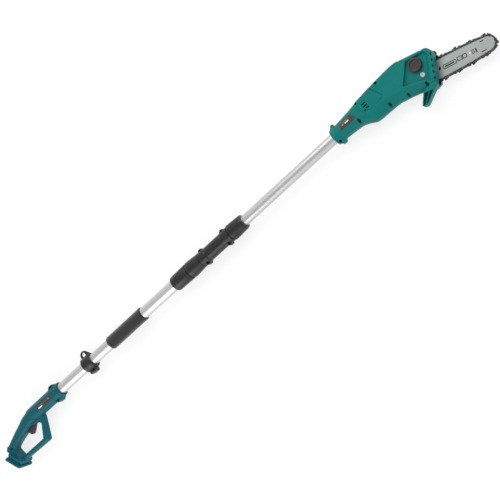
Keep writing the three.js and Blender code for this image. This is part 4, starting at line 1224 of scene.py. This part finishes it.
def trigger():
    outline = [
        (-962, -19), (-960, -29), (-957, -37), (-953.5, -44.5), (-950, -47.8), (-946, -48), (-938, -42.5),
        (-926, -33.5), (-917.5, -25.5), (-915, -16), (-921, -9.5), (-930, -10),
    ]
    body = cut(bevel(prism(outline, -7, 7), 1.5), rod(15, -20, 20, (-971, -41)))
    body = soften(body, 0.6, 4)
    dress(cut(body, rod(2.3, -20, 20, (-921, -13.5))), "trigger_lever", "brown_plastic", "trigger")


def lock_off_button():
    profile = [(-22.5, 0), (-22.5, 3.9), (-21.6, 4.8), (-12, 4.8), (-12, 6.2), (-10, 6.2), (-10, 0)]
    dress(turned(profile, (-936, 1), axis=2, sides=48), "lock_off_cap", "brown_plastic", "lock_off_button")


badge(handle_shells(), HANDLE_BADGE, "handle_badge_film", "handle_badge")
trigger()
lock_off_button()


# ---------------------------------------------------------------- pole and its fittings

def tube(radius, wall, low, high):
    """A tube along the pole with its outer end edges broken."""
    soft = 0.4
    return turned([(low, radius - wall), (low, radius - soft), (low + soft, radius),
                   (high - soft, radius), (high, radius - soft), (high, radius - wall)], sides=128)


def pole_tubes():
    dress(tube(17, 1.6, -815, OUTER_TUBE_END), "pole_outer", "outer_aluminium", "outer_tube")
    a = math.radians(20)
    # The groove that keeps the inner tube from turning: corners as (radius, place across).
    corners = ((13.4, -1.2), (13.4, 1.2), (16, 1.2), (16, -1.2))
    groove = [(-r * math.sin(a) + t * math.cos(a), r * math.cos(a) + t * math.sin(a)) for r, t in corners]
    inner = cut(tube(14.5, 1.5, -480, 440), prism(groove, -485, 445, axis=0))
    dress(inner, "pole_inner", "inner_aluminium", "inner_tube")


def power_lead():
    """The coiled lead inside the pole."""
    low, high, wind, wire, pitch = -826, 462, 3.8, 1.6, 5.2
    steps = 14
    turns = (high - low - 2 * wire) / pitch
    round_wire = circle((0, 0), wire, 8)
    rings = []
    for k in range(int(turns * steps) + 1):
        a = k / steps * math.tau
        middle = low + wire + k / steps * pitch
        rings.append([(middle + x, (wind + r) * math.cos(a), (wind + r) * math.sin(a))
                      for r, x in round_wire])
    lead = loft(rings, "power_lead_coil")
    lead.data.materials.append(MATERIALS["lead_rubber"])
    shade(lead)
    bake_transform(lead)
    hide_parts("power_lead")


def strap_clamp():
    """A split ring with an eyelet above for the strap and a screw boss below."""
    body = turned([(-646, 10), (-646, 23), (-644.5, 24.5), (-612.5, 24.5), (-611, 23), (-611, 10)])
    lug_outline = [(-646, 12)] + arc((-632, 28), 14.2, 172, 40, 20) + [(-611, 24.5), (-611, 12)]
    lug = bevel(prism(lug_outline, -3.2, 3.2), 1)
    boss = bevel(block((-641, -616), (-34.5, -12), (-12, 12)), 4)
    whole = soften(join(body, lug, boss), 0.8, 3)
    eye = prism(slot_outline((-632.4, 28.8), 7.6, 1.6, 95), -20, 20)
    whole = cut(whole, rod(17.3, -660, -590, axis=0, sides=96), eye, *screw_tools(["strap_clamp_screw"]))
    halves(whole, "strap_clamp_shell", "black_plastic", "strap_clamp_right", "strap_clamp_left")


def foam_grip():
    low, high, radius, bore = -528, -378, 20.8, 17.3
    turn = np.radians(np.linspace(0, 90, 7))
    soft = 2.6
    rear = [(low + soft - soft * math.cos(t), radius - soft + soft * math.sin(t)) for t in turn]
    front = [(high - soft + soft * math.sin(t), radius - soft + soft * math.cos(t)) for t in turn]
    along = [(x, radius) for x in np.linspace(low + 8, high - 8, 30)]
    grip = turned([(low, bore)] + rear + along + front + [(high, bore)], sides=96)
    dress(grip, "foam_hand_grip", "foam", "foam_grip")


def lower_sleeve():
    """The moulded sleeve behind the coupler, with its ring groove and flared middle."""
    sleeve = turned([
        (-241, 17.3), (-241, 20.0), (-240.6, 20.9), (-238.5, 22.4), (-234, 23.4), (-179.6, 24.2),
        (-178.8, 23.8), (-178.3, 22.0), (-175.7, 22.0), (-175.2, 24.4), (-174.4, 24.9), (-166, 25),
        (-142, 23.2), (-131.5, 21.7), (-130.6, 22.6), (-128.6, 22.6), (-127.9, 21.9), (-127.5, 21.0),
        (-127.5, 17.3),
    ], sides=144)
    rib = rod(0.8, -235, -186, (-10.4, 21.3), axis=0, sides=16)
    dress(join(sleeve, rib), "pole_lower_sleeve", "black_plastic", "lower_sleeve")


def coupler():
    """A two-part sleeve with raised ends, clamped by four screws in its ears."""
    body = turned([
        (-127, 10), (-127, 21.8), (-126.4, 22.3), (-103, 22.3), (-100, 21.2),
        (-38, 21.2), (-35, 22.3), (-10.1, 22.3), (-9.5, 21.8), (-9.5, 10),
    ])
    ears = []
    for x in (-112, -25):
        for side in (1, -1):
            outline = [(x - 11, side * 19), (x - 5, side * 25.6), (x + 4, side * 25.6), (x + 9, side * 19)]
            ears.append(bevel(prism(outline, -9, 9), 1.2))
    rib = rod(0.9, -102, -38, (-9.2, 19.5), axis=0, sides=16)
    whole = soften(join(body, rib, *ears), 0.8, 2)
    whole = cut(whole, rod(17.3, -140, 0, axis=0, sides=96), *screw_tools(numbered("coupler_screw", 4)))
    halves(whole, "coupler_shell", "black_plastic", "coupler_shell_right", "coupler_shell_left")


def lock_nut():
    """A tapered nut with flutes that run out before its rear collar."""
    body = turned([
        (-9, 17.6), (-9, 20.2), (-6.6, 20.2), (-6.4, 23.4), (-5.6, 24.1), (3, 24), (38, 22), (43, 21.4),
        (44, 20.7), (44, 15), (30, 15), (28, 17.6),
    ], sides=144)
    flutes = []
    for i in range(12):
        a = (i + 0.5) * math.tau / 12
        spot = (23.9 * math.cos(a), 23.9 * math.sin(a))
        flutes.append(rod(1.6, 8, 49, spot, axis=0, sides=16))
    dress(cut(body, *flutes), "lock_nut_ring", "black_plastic", "lock_nut")


pole_tubes()
power_lead()
strap_clamp()
foam_grip()
lower_sleeve()
coupler()
lock_nut()


# ---------------------------------------------------------------- everything else keeps its CAD mesh

for node, obj in frame["nodes"].items():
    if not obj.hide_render:
        obj.data.materials.clear()
        obj.data.materials.append(MATERIALS[NODE_SLOT[node]])
